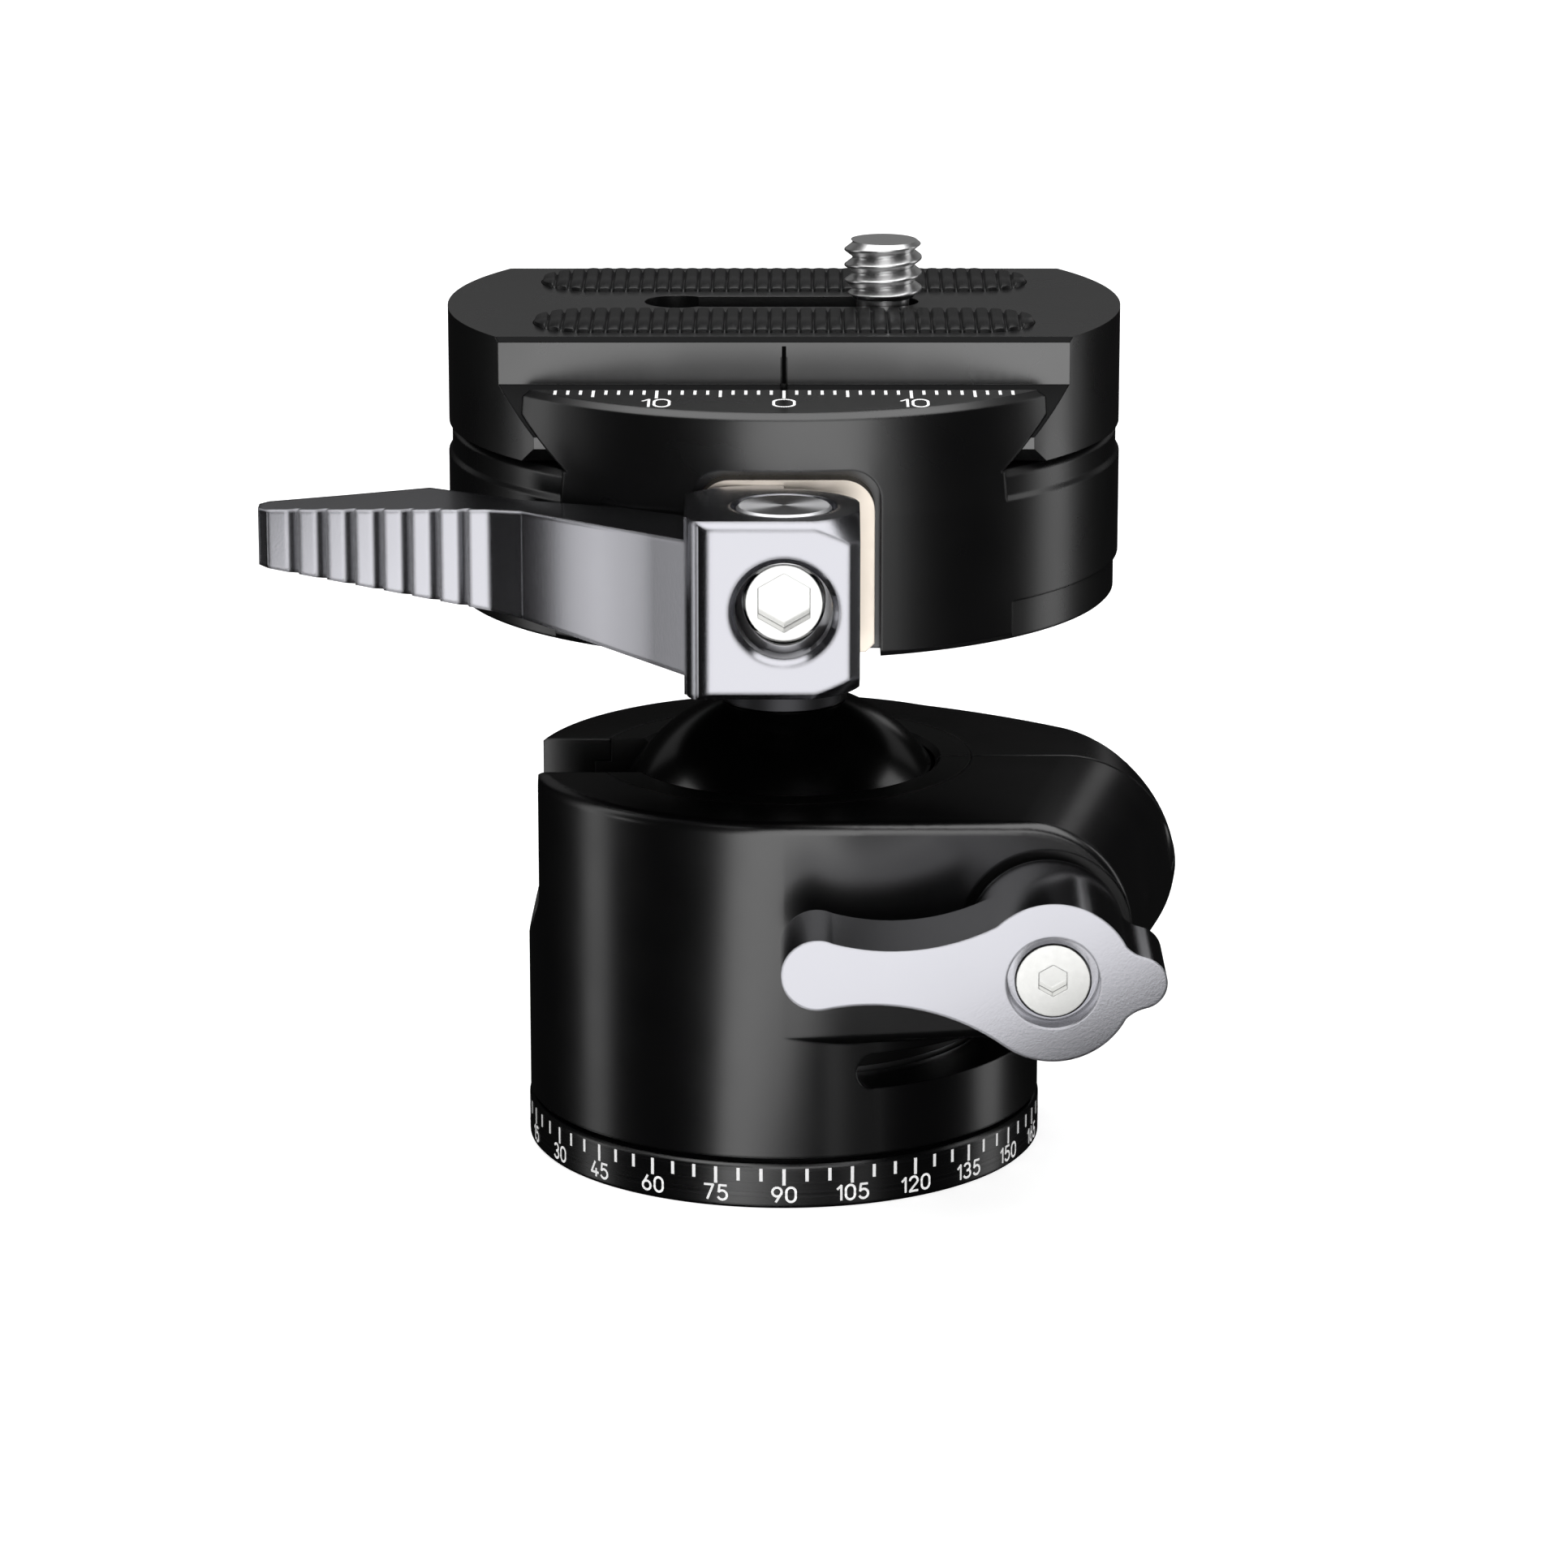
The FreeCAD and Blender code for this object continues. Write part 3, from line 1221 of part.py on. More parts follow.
def turned_corner(part, level, way):
    """Cone turned about the pin's axis that takes off the block's right-hand corners."""
    reach = "(block_turned_reach - block_turned_radius)"
    profile = outline(sketch(part, "XZ", "pin_y"), [
        ("block_turned_radius", level),
        ("block_turned_reach", level),
        ("block_turned_reach", f"{level} {way} {reach} * block_turned_slope"),
    ])
    groove = turn(part, profile, "Groove")
    groove.Angle = 180
    groove.Midplane = True
    DOC.recompute()
    return groove


def finger_ridges(part):
    """Saw-tooth finger ridges along the handle's front face."""
    start = "-(ridge_first_x + ridge_pitch * (ridge_count - 1))"
    tooth = outline(sketch(part, "XY", "block_top"), [
        (f"{start} - ridge_wall * 0.5", "-handle_face_y - 0.8"),
        (f"{start}", "-handle_face_y - 0.3 + ridge_depth"),
        (f"{start} - ridge_pitch + ridge_wall * 0.5", "-handle_face_y - 0.8"),
    ])
    first = cut(part, tooth, "block_top - block_bottom")
    pattern = part.newObject("PartDesign::LinearPattern", "clamp_lever_ridges")
    pattern.Originals = [first]
    pattern.Direction = (next(line for line in part.Origin.OriginFeatures if line.Role == "X_Axis"), [""])
    pattern.Mode = "Spacing"
    bind(pattern, "Offset", "ridge_pitch")
    bind(pattern, "Occurrences", "ridge_count")
    part.Tip = pattern
    DOC.recompute()
    part.Label = "clamp_lever"
    return part


def plate():
    """Round quick-release plate with dovetail flanks."""
    disc = rod("plate_disc", "plate_radius", "plate_top - plate_bottom", z="plate_bottom")
    profile = body("plate_profile")
    half = [
        ("plate_flange_y - plate_flange_bevel", "plate_bottom"),
        ("plate_flange_y", "plate_flange_bottom"),
        ("plate_flange_y", "plate_flank_top - (plate_flange_y - plate_half_width)"),
        ("plate_half_width", "plate_flank_top"),
        ("plate_half_width", "plate_top - plate_edge_bevel"),
        ("plate_half_width - plate_edge_bevel", "plate_top"),
    ]
    mirrored = [(f"-({across})", up) for across, up in reversed(half)]
    pad(profile, outline(sketch(profile, "YZ", "-plate_radius"), half + mirrored), "2 * plate_radius")
    blank = shared("plate_blank", [disc, profile])
    return less("plate", blank, joined("plate_cuts", plate_cuts()))


def stadium(name, half_length, half_width, x, y, bottom, height):
    """Upright slot shape with round ends, along X."""
    tool = body(name)
    straight = f"({half_length} - {half_width})"
    pad(tool, outline(sketch(tool, "XY", bottom), [
        (f"{x} - {straight}", f"{y} - {half_width}"),
        (f"{x} + {straight}", f"{y} - {half_width}", half_width),
        (f"{x} + {straight}", f"{y} + {half_width}"),
        (f"{x} - {straight}", f"{y} + {half_width}", half_width),
    ]), height)
    return tool


def plate_cuts():
    """Strip grooves, screw slot, its entry hole, the screw's room below and the index line."""
    cuts = []
    for side, label in (("-", "front"), ("", "back")):
        cuts.append(stadium("strip_groove_" + label, "strip_half_length", "strip_half_width",
                            "0", side + "strip_y", "plate_top - strip_depth", "strip_depth + 1"))
    cuts.append(stadium("screw_room", "screw_room_half_length", "screw_room_half_width", "0", "0",
                        "plate_bottom - 1", "screw_room_height + 1"))
    reach = "(screw_entry_x + screw_slot_right + screw_slot_half_width) / 2"
    cuts.append(stadium("screw_slot", reach, "screw_slot_half_width",
                        "(screw_slot_right + screw_slot_half_width - screw_entry_x) / 2",
                        "0", "plate_bottom", "plate_top - plate_bottom + 1"))
    cuts.append(rod("screw_entry", "screw_entry_radius", "plate_top - plate_bottom + 1",
                    "-screw_entry_x", "0", "plate_bottom"))
    cuts.append(block("index_groove", "index_width", "index_depth + 5", "index_top - plate_bottom",
                      "-index_width / 2", "-plate_half_width - 5", "plate_bottom - 1"))
    return cuts


def grip_strip(name, side):
    """Rubber strip in the plate's top."""
    return stadium(name, "(strip_half_length - strip_fit)", "(strip_half_width - strip_fit)", "0",
                   side + "strip_y", "plate_top - strip_depth", "strip_depth + strip_proud")


def screw_washer():
    """Washer that slides in the plate's slot with the camera screw."""
    part = turned("screw_washer", [
        ("screw_neck_radius + run_fit", "screw_head_top"),
        ("screw_washer_radius", "screw_head_top"),
        ("screw_washer_radius", "screw_room_top - screw_washer_play"),
        ("screw_neck_radius + run_fit", "screw_room_top - screw_washer_play"),
    ])
    return place(part, x="screw_x")


def camera_screw():
    """Captive camera screw: head below the slot, thin neck in it and the thread above."""
    part = turned("camera_screw", [
        ("0", "screw_head_top - screw_head_height"),
        ("screw_head_radius - 0.3", "screw_head_top - screw_head_height"),
        ("screw_head_radius", "screw_head_top - screw_head_height + 0.3"),
        ("screw_head_radius", "screw_head_top"),
        ("screw_neck_radius", "screw_head_top"),
        ("screw_neck_radius", "plate_top + screw_neck_rise"),
        ("screw_radius", "plate_top + screw_neck_rise + 0.3"),
        ("screw_radius", "screw_top - 0.6"),
        ("screw_core_radius", "screw_top"),
        ("0", "screw_top"),
    ])
    slot = outline(sketch(part, "XY", "screw_head_top - screw_head_height"), [
        ("-screw_head_radius - 1", "-screw_head_slot / 2"),
        ("screw_head_radius + 1", "-screw_head_slot / 2"),
        ("screw_head_radius + 1", "screw_head_slot / 2"),
        ("-screw_head_radius - 1", "screw_head_slot / 2"),
    ])
    cut(part, slot, "1.2", backwards=True)
    return place(part, x="screw_x")


PARTS = [
    base_ring(), pan_washer(), glide_washer(), keeper_ring(), keeper_screws(), floor_plug(),
    housing(), seat_ring(), lower_cup(), cup_spring(), ball(), stem(),
    lock_washer(), lock_shaft(), lock_lever(), lock_screw(), pan_pad(), pan_stud(), pan_knob(),
    clamp_body(), stem_grub(), thrust_pad(), guide_pins(), jaw_springs(), rear_jaw(),
    draw_bolt(), barrel_pin(), clamp_lever(), plate(),
    grip_strip("front_grip_strip", "-"), grip_strip("rear_grip_strip", ""),
    screw_washer(), camera_screw(),
]

DOC.recompute()
failed = [thing.Name for thing in DOC.Objects if "Invalid" in thing.State or "Error" in thing.State]
if failed:
    raise RuntimeError("features that failed: " + ", ".join(failed))
os.makedirs("parts", exist_ok=True)
for item in PARTS:
    if item.Shape.isNull() or not item.Shape.isValid():
        raise RuntimeError(item.Label + " has no valid shape")
    if not item.Shape.Solids:
        raise RuntimeError(item.Label + " has no solid")
    item.Shape.exportStep(os.path.join("parts", item.Label + ".step"))
print(len(PARTS), "sub-parts written")
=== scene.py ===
import math

import bmesh
import bpy
from mathutils import Matrix, Vector


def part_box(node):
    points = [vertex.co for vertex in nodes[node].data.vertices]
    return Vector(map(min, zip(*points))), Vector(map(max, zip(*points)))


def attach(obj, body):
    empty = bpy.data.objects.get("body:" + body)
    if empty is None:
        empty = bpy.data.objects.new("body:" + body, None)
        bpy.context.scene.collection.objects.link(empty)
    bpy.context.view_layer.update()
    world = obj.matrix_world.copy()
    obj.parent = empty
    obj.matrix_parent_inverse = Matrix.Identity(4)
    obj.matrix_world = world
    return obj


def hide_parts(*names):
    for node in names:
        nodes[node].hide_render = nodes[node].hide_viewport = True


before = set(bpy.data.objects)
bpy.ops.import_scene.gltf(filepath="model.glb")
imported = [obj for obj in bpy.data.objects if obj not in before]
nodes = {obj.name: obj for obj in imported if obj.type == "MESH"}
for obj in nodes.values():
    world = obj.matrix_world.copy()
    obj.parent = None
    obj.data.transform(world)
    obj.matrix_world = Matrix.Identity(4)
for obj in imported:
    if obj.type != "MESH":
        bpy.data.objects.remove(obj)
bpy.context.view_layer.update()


# Panning base: a turned aluminium ring, anodised black, that screws onto the tripod. Its edge carries
# a degree scale that is engraved and filled with white paint.
MM = 0.001
RELIEF = 0.02 * MM
EDGE_BREAK = 0.26 * MM


def add(owner, kind, **settings):
    """Add a shader node. A setting names a property or an input (a, b and c are the first three)."""
    tree = owner.node_tree
    node = tree.nodes.new("ShaderNode" + kind)
    for name, value in settings.items():
        spoken = name.replace("_", " ")
        if name in ("a", "b", "c"):
            socket = node.inputs["abc".index(name)]
        elif spoken in node.inputs:
            socket = node.inputs[spoken]
        else:
            setattr(node, name, value)
            continue
        if isinstance(value, bpy.types.NodeSocket):
            tree.links.new(value, socket)
        else:
            socket.default_value = value
    return node


def paint(hex_colour):
    """Turn an sRGB hex colour into the linear colour that a shader takes."""
    parts = [int(hex_colour[i:i + 2], 16) / 255 for i in (1, 3, 5)]
    return [p / 12.92 if p <= 0.04045 else ((p + 0.055) / 1.055) ** 2.4 for p in parts] + [1.0]


def finish(name):
    """A new material with no nodes, and the coordinates that its patterns start from."""
    made = bpy.data.materials.new(name)
    made.use_nodes = True
    made.node_tree.nodes.clear()
    return made, add(made, "TexCoord").outputs["Object"]


def coat(made, normal, **settings):
    """Close a finish with its surface shader."""
    shader = add(made, "BsdfPrincipled", Normal=normal, **settings)
    add(made, "OutputMaterial", Surface=shader.outputs["BSDF"])
    return made


def eased(made, radius):
    """Break a piece's sharp edges by a radius, in the shading only."""
    return add(made, "Bevel", samples=4, Radius=radius).outputs["Normal"]


def wear(material, *members):
    """Give CAD nodes a finish."""
    for member in members:
        nodes[member].data.materials.clear()
        nodes[member].data.materials.append(material)


def turned_black(name, dye, roughness, feed):
    """Black anodised aluminium as it leaves the lathe: the feed marks run round the Z axis."""
    made, place = finish(name)
    split = add(made, "SeparateXYZ", Vector=place)
    flat = add(made, "CombineXYZ", X=split.outputs["X"], Y=split.outputs["Y"])
    radius = add(made, "VectorMath", operation="LENGTH", Vector=flat.outputs["Vector"])
    along = add(made, "Math", operation="ADD", a=radius.outputs["Value"], b=split.outputs["Z"])
    marks = add(made, "TexNoise", noise_dimensions="1D", W=along.outputs["Value"], Scale=1 / feed,
                Detail=3.0)
    bump = add(made, "Bump", Strength=0.04, Distance=RELIEF, Height=marks.outputs["Fac"],
               Normal=eased(made, EDGE_BREAK))
    rough = add(made, "MapRange", Value=marks.outputs["Fac"], To_Min=roughness - 0.05,
                To_Max=roughness + 0.05)
    return coat(made, bump.outputs["Normal"], Base_Color=paint(dye), Specular_IOR_Level=1.0,
                Roughness=rough.outputs["Result"])


# A deep black with a fine turned sheen. The feed of the finishing cut is about 0.05 mm; it is drawn at
# 0.25 mm so that it shows.
base_black = turned_black("anodised_aluminium_turned_black", "#060607", 0.26, 0.25 * MM)
wear(base_black, "base_ring")


def engraving_paint(name, dye, least, most, **settings):
    """Paint rubbed into an engraved line, flat and finely specked."""
    made, place = finish(name)
    speck = add(made, "TexNoise", Vector=place, Scale=1 / (0.2 * MM), Detail=2.0)
    dull = add(made, "MapRange", Value=speck.outputs["Fac"], To_Min=least, To_Max=most)
    bump = add(made, "Bump", Strength=0.05, Height=speck.outputs["Fac"])
    return coat(made, bump.outputs["Normal"], Base_Color=paint(dye), Roughness=dull.outputs["Result"],
                **settings)


# Clean white paint with a painted glow, so that it stays legible on the shaded side.
scale_white_glowing = engraving_paint("white_paint_in_engraving_painted_glow", "#ffffff", 0.55, 0.75,
                              Emission_Color=paint("#ffffff"), Emission_Strength=0.3)


def piece(name, mesh, body, material, hides=()):
    """Make an object from a mesh, with its finish, riding on a CAD body."""
    made = bpy.data.objects.new(name, mesh)
    bpy.context.scene.collection.objects.link(made)
    mesh.materials.clear()
    mesh.materials.append(material)
    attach(made, body)
    if hides:
        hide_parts(*hides)


BOW_STEPS = 14
DIGIT_WIDTH = 0.62
ONE_WIDTH = 0.36
SAME_SPOT = 1e-7


def bow(x, y, across, up, start, end):
    """Points of an arc, from one angle in degrees to another."""
    turns = [math.radians(start + (end - start) * step / BOW_STEPS) for step in range(BOW_STEPS + 1)]
    return [(x + across * math.cos(turn), y + up * math.sin(turn)) for turn in turns]


# Each digit is a pen's path in a field one high and 0.62 wide, in the plain upright style of the scale.
DIGITS = {
    "0": [bow(0.31, 0.67, 0.31, 0.33, 0, 180) + bow(0.31, 0.33, 0.31, 0.33, 180, 360) + [(0.62, 0.67)]],
    "1": [[(0.10, 0.76), (0.36, 1.0), (0.36, 0.0)]],
    "2": [bow(0.31, 0.71, 0.30, 0.29, 170, -25) + [(0.0, 0.0), (0.62, 0.0)]],
    "3": [bow(0.29, 0.75, 0.27, 0.25, 155, -90) + bow(0.29, 0.27, 0.32, 0.27, 70, -155)],
    "4": [[(0.36, 1.0), (0.0, 0.26), (0.66, 0.26)], [(0.46, 0.52), (0.46, 0.0)]],
    "5": [[(0.56, 1.0), (0.10, 1.0), (0.05, 0.53)] + bow(0.29, 0.32, 0.32, 0.32, 130, -150)],
    "6": [bow(0.31, 0.31, 0.31, 0.31, 0, 360), [(0.03, 0.42), (0.38, 1.0)]],
    "7": [[(0.0, 1.0), (0.60, 1.0), (0.20, 0.0)]],
    "8": [bow(0.31, 0.77, 0.26, 0.23, 0, 360), bow(0.31, 0.27, 0.31, 0.27, 0, 360)],
    "9": [bow(0.31, 0.69, 0.31, 0.31, 0, 360), [(0.59, 0.58), (0.24, 0.0)]],
}


def write(page, text, middle, foot, height, pen, spread=1.0):
    """Draw a number on a page of marks. Strokes run a little past their ends, so that they join."""
    widths = [(ONE_WIDTH if digit == "1" else DIGIT_WIDTH) * height * spread for digit in text]
    gap = 2 * pen
    start = middle - (sum(widths) + gap * (len(text) - 1)) / 2
    for place, digit in enumerate(text):
        left = start + sum(widths[:place]) + gap * place
        for path in DIGITS[digit]:
            dots = [Vector((left + x * height * spread, foot + y * height)) for x, y in path]
            for one, other in zip(dots, dots[1:]):
                if (other - one).length < SAME_SPOT:
                    continue
                way = (other - one).normalized() * pen / 2
                side = Vector((-way.y, way.x))
                past = way / 2
                ends = (one - past - side, other + past - side, other + past + side, one - past + side)
                page.faces.new([page.verts.new((end.x, end.y, 0)) for end in ends])


def stroke(page, x0, x1, y0, y1):
    """Add one flat tick to a page of marks."""
    corners = [page.verts.new((x, y, 0)) for x, y in ((x0, y0), (x1, y0), (x1, y1), (x0, y1))]
    page.faces.new(corners)


SCALE_RADIUS = 21.4 * MM
SCALE_TOP = 3.42 * MM
SCALE_STEP = 5
NUMERAL_STEP = 15
TICK_WIDTH = 0.27 * MM
TICK = 1.08 * MM
LONG_TICK = 1.4 * MM
NUMERAL_HEIGHT = 1.22 * MM
NUMERAL_FOOT = 0.62 * MM
PEN = 0.19 * MM
PAINT_PROUD = 0.012 * MM

marks = bmesh.new()
for degree in range(0, 360, SCALE_STEP):
    reach = LONG_TICK if degree % NUMERAL_STEP == 0 else TICK
    middle = math.radians(degree) * SCALE_RADIUS
    stroke(marks, middle - TICK_WIDTH / 2, middle + TICK_WIDTH / 2, SCALE_TOP - reach, SCALE_TOP)
for degree in range(0, 360, NUMERAL_STEP):
    write(marks, str(degree), math.radians(degree) * SCALE_RADIUS, NUMERAL_FOOT, NUMERAL_HEIGHT, PEN)
for vertex in marks.verts:
    turn = vertex.co.x / SCALE_RADIUS + math.pi
    reach = SCALE_RADIUS + PAINT_PROUD
    vertex.co = Vector((reach * math.cos(turn), reach * math.sin(turn), vertex.co.y))
degree_scale = bpy.data.meshes.new("degree_scale")
marks.to_mesh(degree_scale)
marks.free()
piece("degree_scale", degree_scale, "base", scale_white_glowing)


# Slip rings: stamped from dark acetal sheet, they let the head turn smoothly on its base. Only
# a thin dull line of the lower one can be seen, so they are a cloudy dark grey.
slip_grey, place = finish("acetal_sheet_dark_grey")
clouds = add(slip_grey, "TexNoise", Vector=place, Scale=1 / (1.5 * MM), Detail=3.0)
shade = add(slip_grey, "Mix", data_type="RGBA", Factor=clouds.outputs["Fac"])
shade.inputs[6].default_value = paint("#2c2c2d")
shade.inputs[7].default_value = paint("#38383a")
coat(slip_grey, add(slip_grey, "Bump", Strength=0.1, Height=clouds.outputs["Fac"]).outputs["Normal"],
     Base_Color=shade.outputs[2], Roughness=0.45)
wear(slip_grey, "pan_washer", "glide_washer", "screw_washer")


# Keeper ring and its three screws: turned steel, they hold the head on the base from inside. The
# rings of the cut catch the light. The shafts, pins and spring washer are of the same steel.
keeper_steel, place = finish("steel_turned")
split = add(keeper_steel, "SeparateXYZ", Vector=place)
flat = add(keeper_steel, "CombineXYZ", X=split.outputs["X"], Y=split.outputs["Y"])
radius = add(keeper_steel, "VectorMath", operation="LENGTH", Vector=flat.outputs["Vector"])
rings = add(keeper_steel, "TexNoise", noise_dimensions="1D", W=radius.outputs["Value"], Scale=1 / (0.3 * MM))
bump = add(keeper_steel, "Bump", Strength=0.15, Distance=RELIEF, Height=rings.outputs["Fac"])
coat(keeper_steel, bump.outputs["Normal"], Base_Color=paint("#a8a9ab"), Metallic=1.0, Roughness=0.32)
wear(keeper_steel, "keeper_ring", "keeper_screws", "cup_spring", "lock_shaft", "pan_stud", "stem_grub",
     "guide_pins")


# Housing: a block of aluminium milled with its pinch boss, split and slots, then bead blasted and
# anodised black. The blasting leaves an even satin that spreads each reflection a little.
BEAD = 0.2 * MM
BOSS_TURN = 12
BOSS_START = 0.5 * MM
BOSS_END = 7 * MM
SLANTED, SQUARE = -0.93, -0.99


def lean(made, normal, aside):
    """Turn a shading normal aside by a vector in the piece's own axes."""
    turned = add(made, "VectorTransform", vector_type="VECTOR", convert_from="OBJECT",
                 convert_to="WORLD", Vector=aside)
    summed = add(made, "VectorMath", operation="ADD", a=normal, b=turned.outputs[0])
    return add(made, "VectorMath", operation="NORMALIZE", a=summed.outputs[0]).outputs[0]


def blasted_black(name, dye, roughness, turned_face=0, ior=1.5, soft=EDGE_BREAK):
    """Black anodised aluminium after bead blasting. A turned face leans its front to the right."""
    made, place = finish(name)
    dimples = add(made, "TexNoise", Vector=place, Scale=1 / BEAD, Detail=2.0, Roughness=0.6)
    cloud = add(made, "TexNoise", Vector=place, Scale=1 / (6 * MM), Detail=2.0)
    base = eased(made, soft)
    if turned_face:
        spot = add(made, "SeparateXYZ", Vector=place)
        facing = add(made, "SeparateXYZ", Vector=add(made, "TexCoord").outputs["Normal"])
        past = add(made, "MapRange", interpolation_type="SMOOTHSTEP", Value=spot.outputs["X"],
                   From_Min=BOSS_START, From_Max=BOSS_END, To_Max=turned_face)
        front = add(made, "MapRange", Value=facing.outputs["Y"], From_Min=SLANTED, From_Max=SQUARE)
        tilt = add(made, "Math", operation="MULTIPLY", a=past.outputs["Result"], b=front.outputs["Result"])
        base = lean(made, base, add(made, "CombineXYZ", X=tilt.outputs[0]).outputs[0])
    bump = add(made, "Bump", Strength=0.09, Distance=RELIEF, Height=dimples.outputs["Fac"], Normal=base)
    rough = add(made, "MapRange", Value=cloud.outputs["Fac"], To_Min=roughness - 0.03,
                To_Max=roughness + 0.03)
    return coat(made, bump.outputs["Normal"], Base_Color=paint(dye), Specular_IOR_Level=1.0, IOR=ior,
                Roughness=rough.outputs["Result"])


# An even satin black. The glass beads are about 0.1 mm; their dimples are drawn at 0.2 mm so that
# they show.
housing_black = blasted_black("anodised_aluminium_blasted_black", "#080809", 0.28)
wear(housing_black, "floor_plug")

# The boss's front isn't square to the housing: it turns away by about 12 degrees, which only its
# darker reflection shows.
boss_black = blasted_black("anodised_aluminium_boss_black", "#060607", 0.26,
                           math.tan(math.radians(BOSS_TURN)))
wear(boss_black, "housing")


# Ball: turned aluminium, ground round and hard anodised to a deep smooth black, so it mirrors what
# is round it and stays dark.
ball_black, place = finish("hard_anodised_aluminium_ground_black")
haze = add(ball_black, "TexNoise", Vector=place, Scale=1 / (4 * MM), Detail=4.0)
gloss = add(ball_black, "MapRange", Value=haze.outputs["Fac"], To_Min=0.16, To_Max=0.24)
coat(ball_black, eased(ball_black, 0.1 * MM),
     Base_Color=paint("#030303"), Roughness=gloss.outputs["Result"], Specular_IOR_Level=0.8)
wear(ball_black, "ball")


# Seats: two moulded acetal rings, black, that the ball turns in. The upper one is split so that the
# housing can squeeze it. Their moulded skin is duller than the ball.
seat_black, place = finish("acetal_moulded_black")
skin = add(seat_black, "TexNoise", Vector=place, Scale=1 / (0.4 * MM), Detail=3.0)
bump = add(seat_black, "Bump", Strength=0.06, Distance=RELIEF, Height=skin.outputs["Fac"],
           Normal=eased(seat_black, 0.12 * MM))
coat(seat_black, bump.outputs["Normal"], Base_Color=paint("#070707"), Roughness=0.38)
wear(seat_black, "seat_ring", "lower_cup")


# Stem: the neck between ball and clamp, turned in aluminium and anodised black. Its feed marks are a
# little coarser than the base's, so its sheen is softer.
stem_black = turned_black("anodised_aluminium_stem_black", "#050506", 0.3, 0.3 * MM)
wear(stem_black, "stem")


# Lock lever and clamp lever: milled aluminium, finely blasted and anodised titanium grey, so their
# faces are bright where the light falls and dark where they mirror the room.
FINE_GRAIN = 0.18 * MM
ARM_TIP = -24 * MM
ARM_ROOT = -10 * MM
ARM_FACING = -0.61
FACING_SPREAD = 0.06
ARM_LENGTHWISE = (0.79, -0.61, 0)


def titanium_grey(name, roughness, hollow=0, soft=EDGE_BREAK):
    """Grey anodised aluminium with a fine grain. A hollow arm turns its shading along its length."""
    made, place = finish(name)
    dimples = add(made, "TexNoise", Vector=place, Scale=1 / FINE_GRAIN, Detail=2.0, Roughness=0.6)
    cloud = add(made, "TexNoise", Vector=place, Scale=1 / (5 * MM), Detail=2.0)
    base = eased(made, soft)
    if hollow:
        spot = add(made, "SeparateXYZ", Vector=place)
        facing = add(made, "SeparateXYZ", Vector=add(made, "TexCoord").outputs["Normal"])
        sweep = add(made, "MapRange", Value=spot.outputs["X"], From_Min=ARM_TIP, From_Max=ARM_ROOT,
                    To_Min=hollow, To_Max=-hollow)
        arm = add(made, "Math", operation="COMPARE", a=facing.outputs["X"], b=ARM_FACING, c=FACING_SPREAD)
        tilt = add(made, "Math", operation="MULTIPLY", a=sweep.outputs["Result"], b=arm.outputs[0])
        aside = add(made, "VectorMath", operation="SCALE", a=ARM_LENGTHWISE, Scale=tilt.outputs[0])
        base = lean(made, base, aside.outputs[0])
    bump = add(made, "Bump", Strength=0.08, Distance=RELIEF, Height=dimples.outputs["Fac"], Normal=base)
    rough = add(made, "MapRange", Value=cloud.outputs["Fac"], To_Min=roughness - 0.01,
                To_Max=roughness + 0.01)
    return coat(made, bump.outputs["Normal"], Base_Color=paint("#a6a6ab"), Metallic=1.0,
                Roughness=rough.outputs["Result"])


# A cool bright grey, nearly a mirror on its flat face.
lever_grey = titanium_grey("anodised_aluminium_titanium_grey", 0.15)
wear(lever_grey, "lock_lever")

# The clamp lever's arm is milled a little hollow, which only its reflection shows.
arm_grey = titanium_grey("anodised_aluminium_arm_grey", 0.2, hollow=0.22, soft=0.5 * MM)
wear(arm_grey, "clamp_lever")

# The screws are polished, so they are the brightest spots on both levers.
bright_steel, place = finish("stainless_steel_polished")
scratch = add(bright_steel, "TexNoise", Vector=place, Scale=1 / (0.5 * MM), Detail=4.0)
gloss = add(bright_steel, "MapRange", Value=scratch.outputs["Fac"], To_Min=0.12, To_Max=0.2)
coat(bright_steel, eased(bright_steel, 0.12 * MM), Base_Color=paint("#c6c6c4"), Metallic=1.0,
     Roughness=gloss.outputs["Result"])
wear(bright_steel, "lock_screw", "draw_bolt")
wear(housing_black, "lock_washer")


# Panning lock: a small fluted aluminium knob, anodised black, on a steel stud with a soft metal pad.
# The pad and the clamp lever's thrust pad are of one pale warm bronze that looks cream in the light.
wear(base_black, "pan_knob")
pad_bronze, place = finish("bronze_turned")
tarnish = add(pad_bronze, "TexNoise", Vector=place, Scale=1 / (0.8 * MM), Detail=4.0)
dull = add(pad_bronze, "MapRange", Value=tarnish.outputs["Fac"], To_Min=0.4, To_Max=0.5)
coat(pad_bronze, eased(pad_bronze, 0.12 * MM), Base_Color=paint("#fff4e6"), Metallic=1.0,
     Roughness=dull.outputs["Result"])
wear(pad_bronze, "pan_pad", "thrust_pad")


# Clamp platform and rear jaw: milled aluminium, bead blasted and anodised black as the housing is.
# The front jaw's top carries a millimetre scale, engraved and filled with white paint.
wear(housing_black, "clamp_body", "rear_jaw")

JAW_TOP = 66.8 * MM
JAW_EDGE = 17.75 * MM
JAW_TICK_WIDTH = 0.24 * MM
JAW_TICK = 1.6 * MM
JAW_MIDDLE_TICK = 2.5 * MM
JAW_LONG_TICK = 3.0 * MM
JAW_NUMERAL = 2.9 * MM
JAW_NUMERAL_FOOT = 6.3 * MM
JAW_PEN = 0.21 * MM
JAW_TICKS = 18
JAW_LONG_STEP = 10
JAW_MIDDLE_STEP = 5
# Each number with its middle in mm and the width of its digits beside the plain ones.
JAW_NUMBERS = (("10", -10.1, 0.66), ("0", 0, 0.9), ("10", 10.1, 0.66))

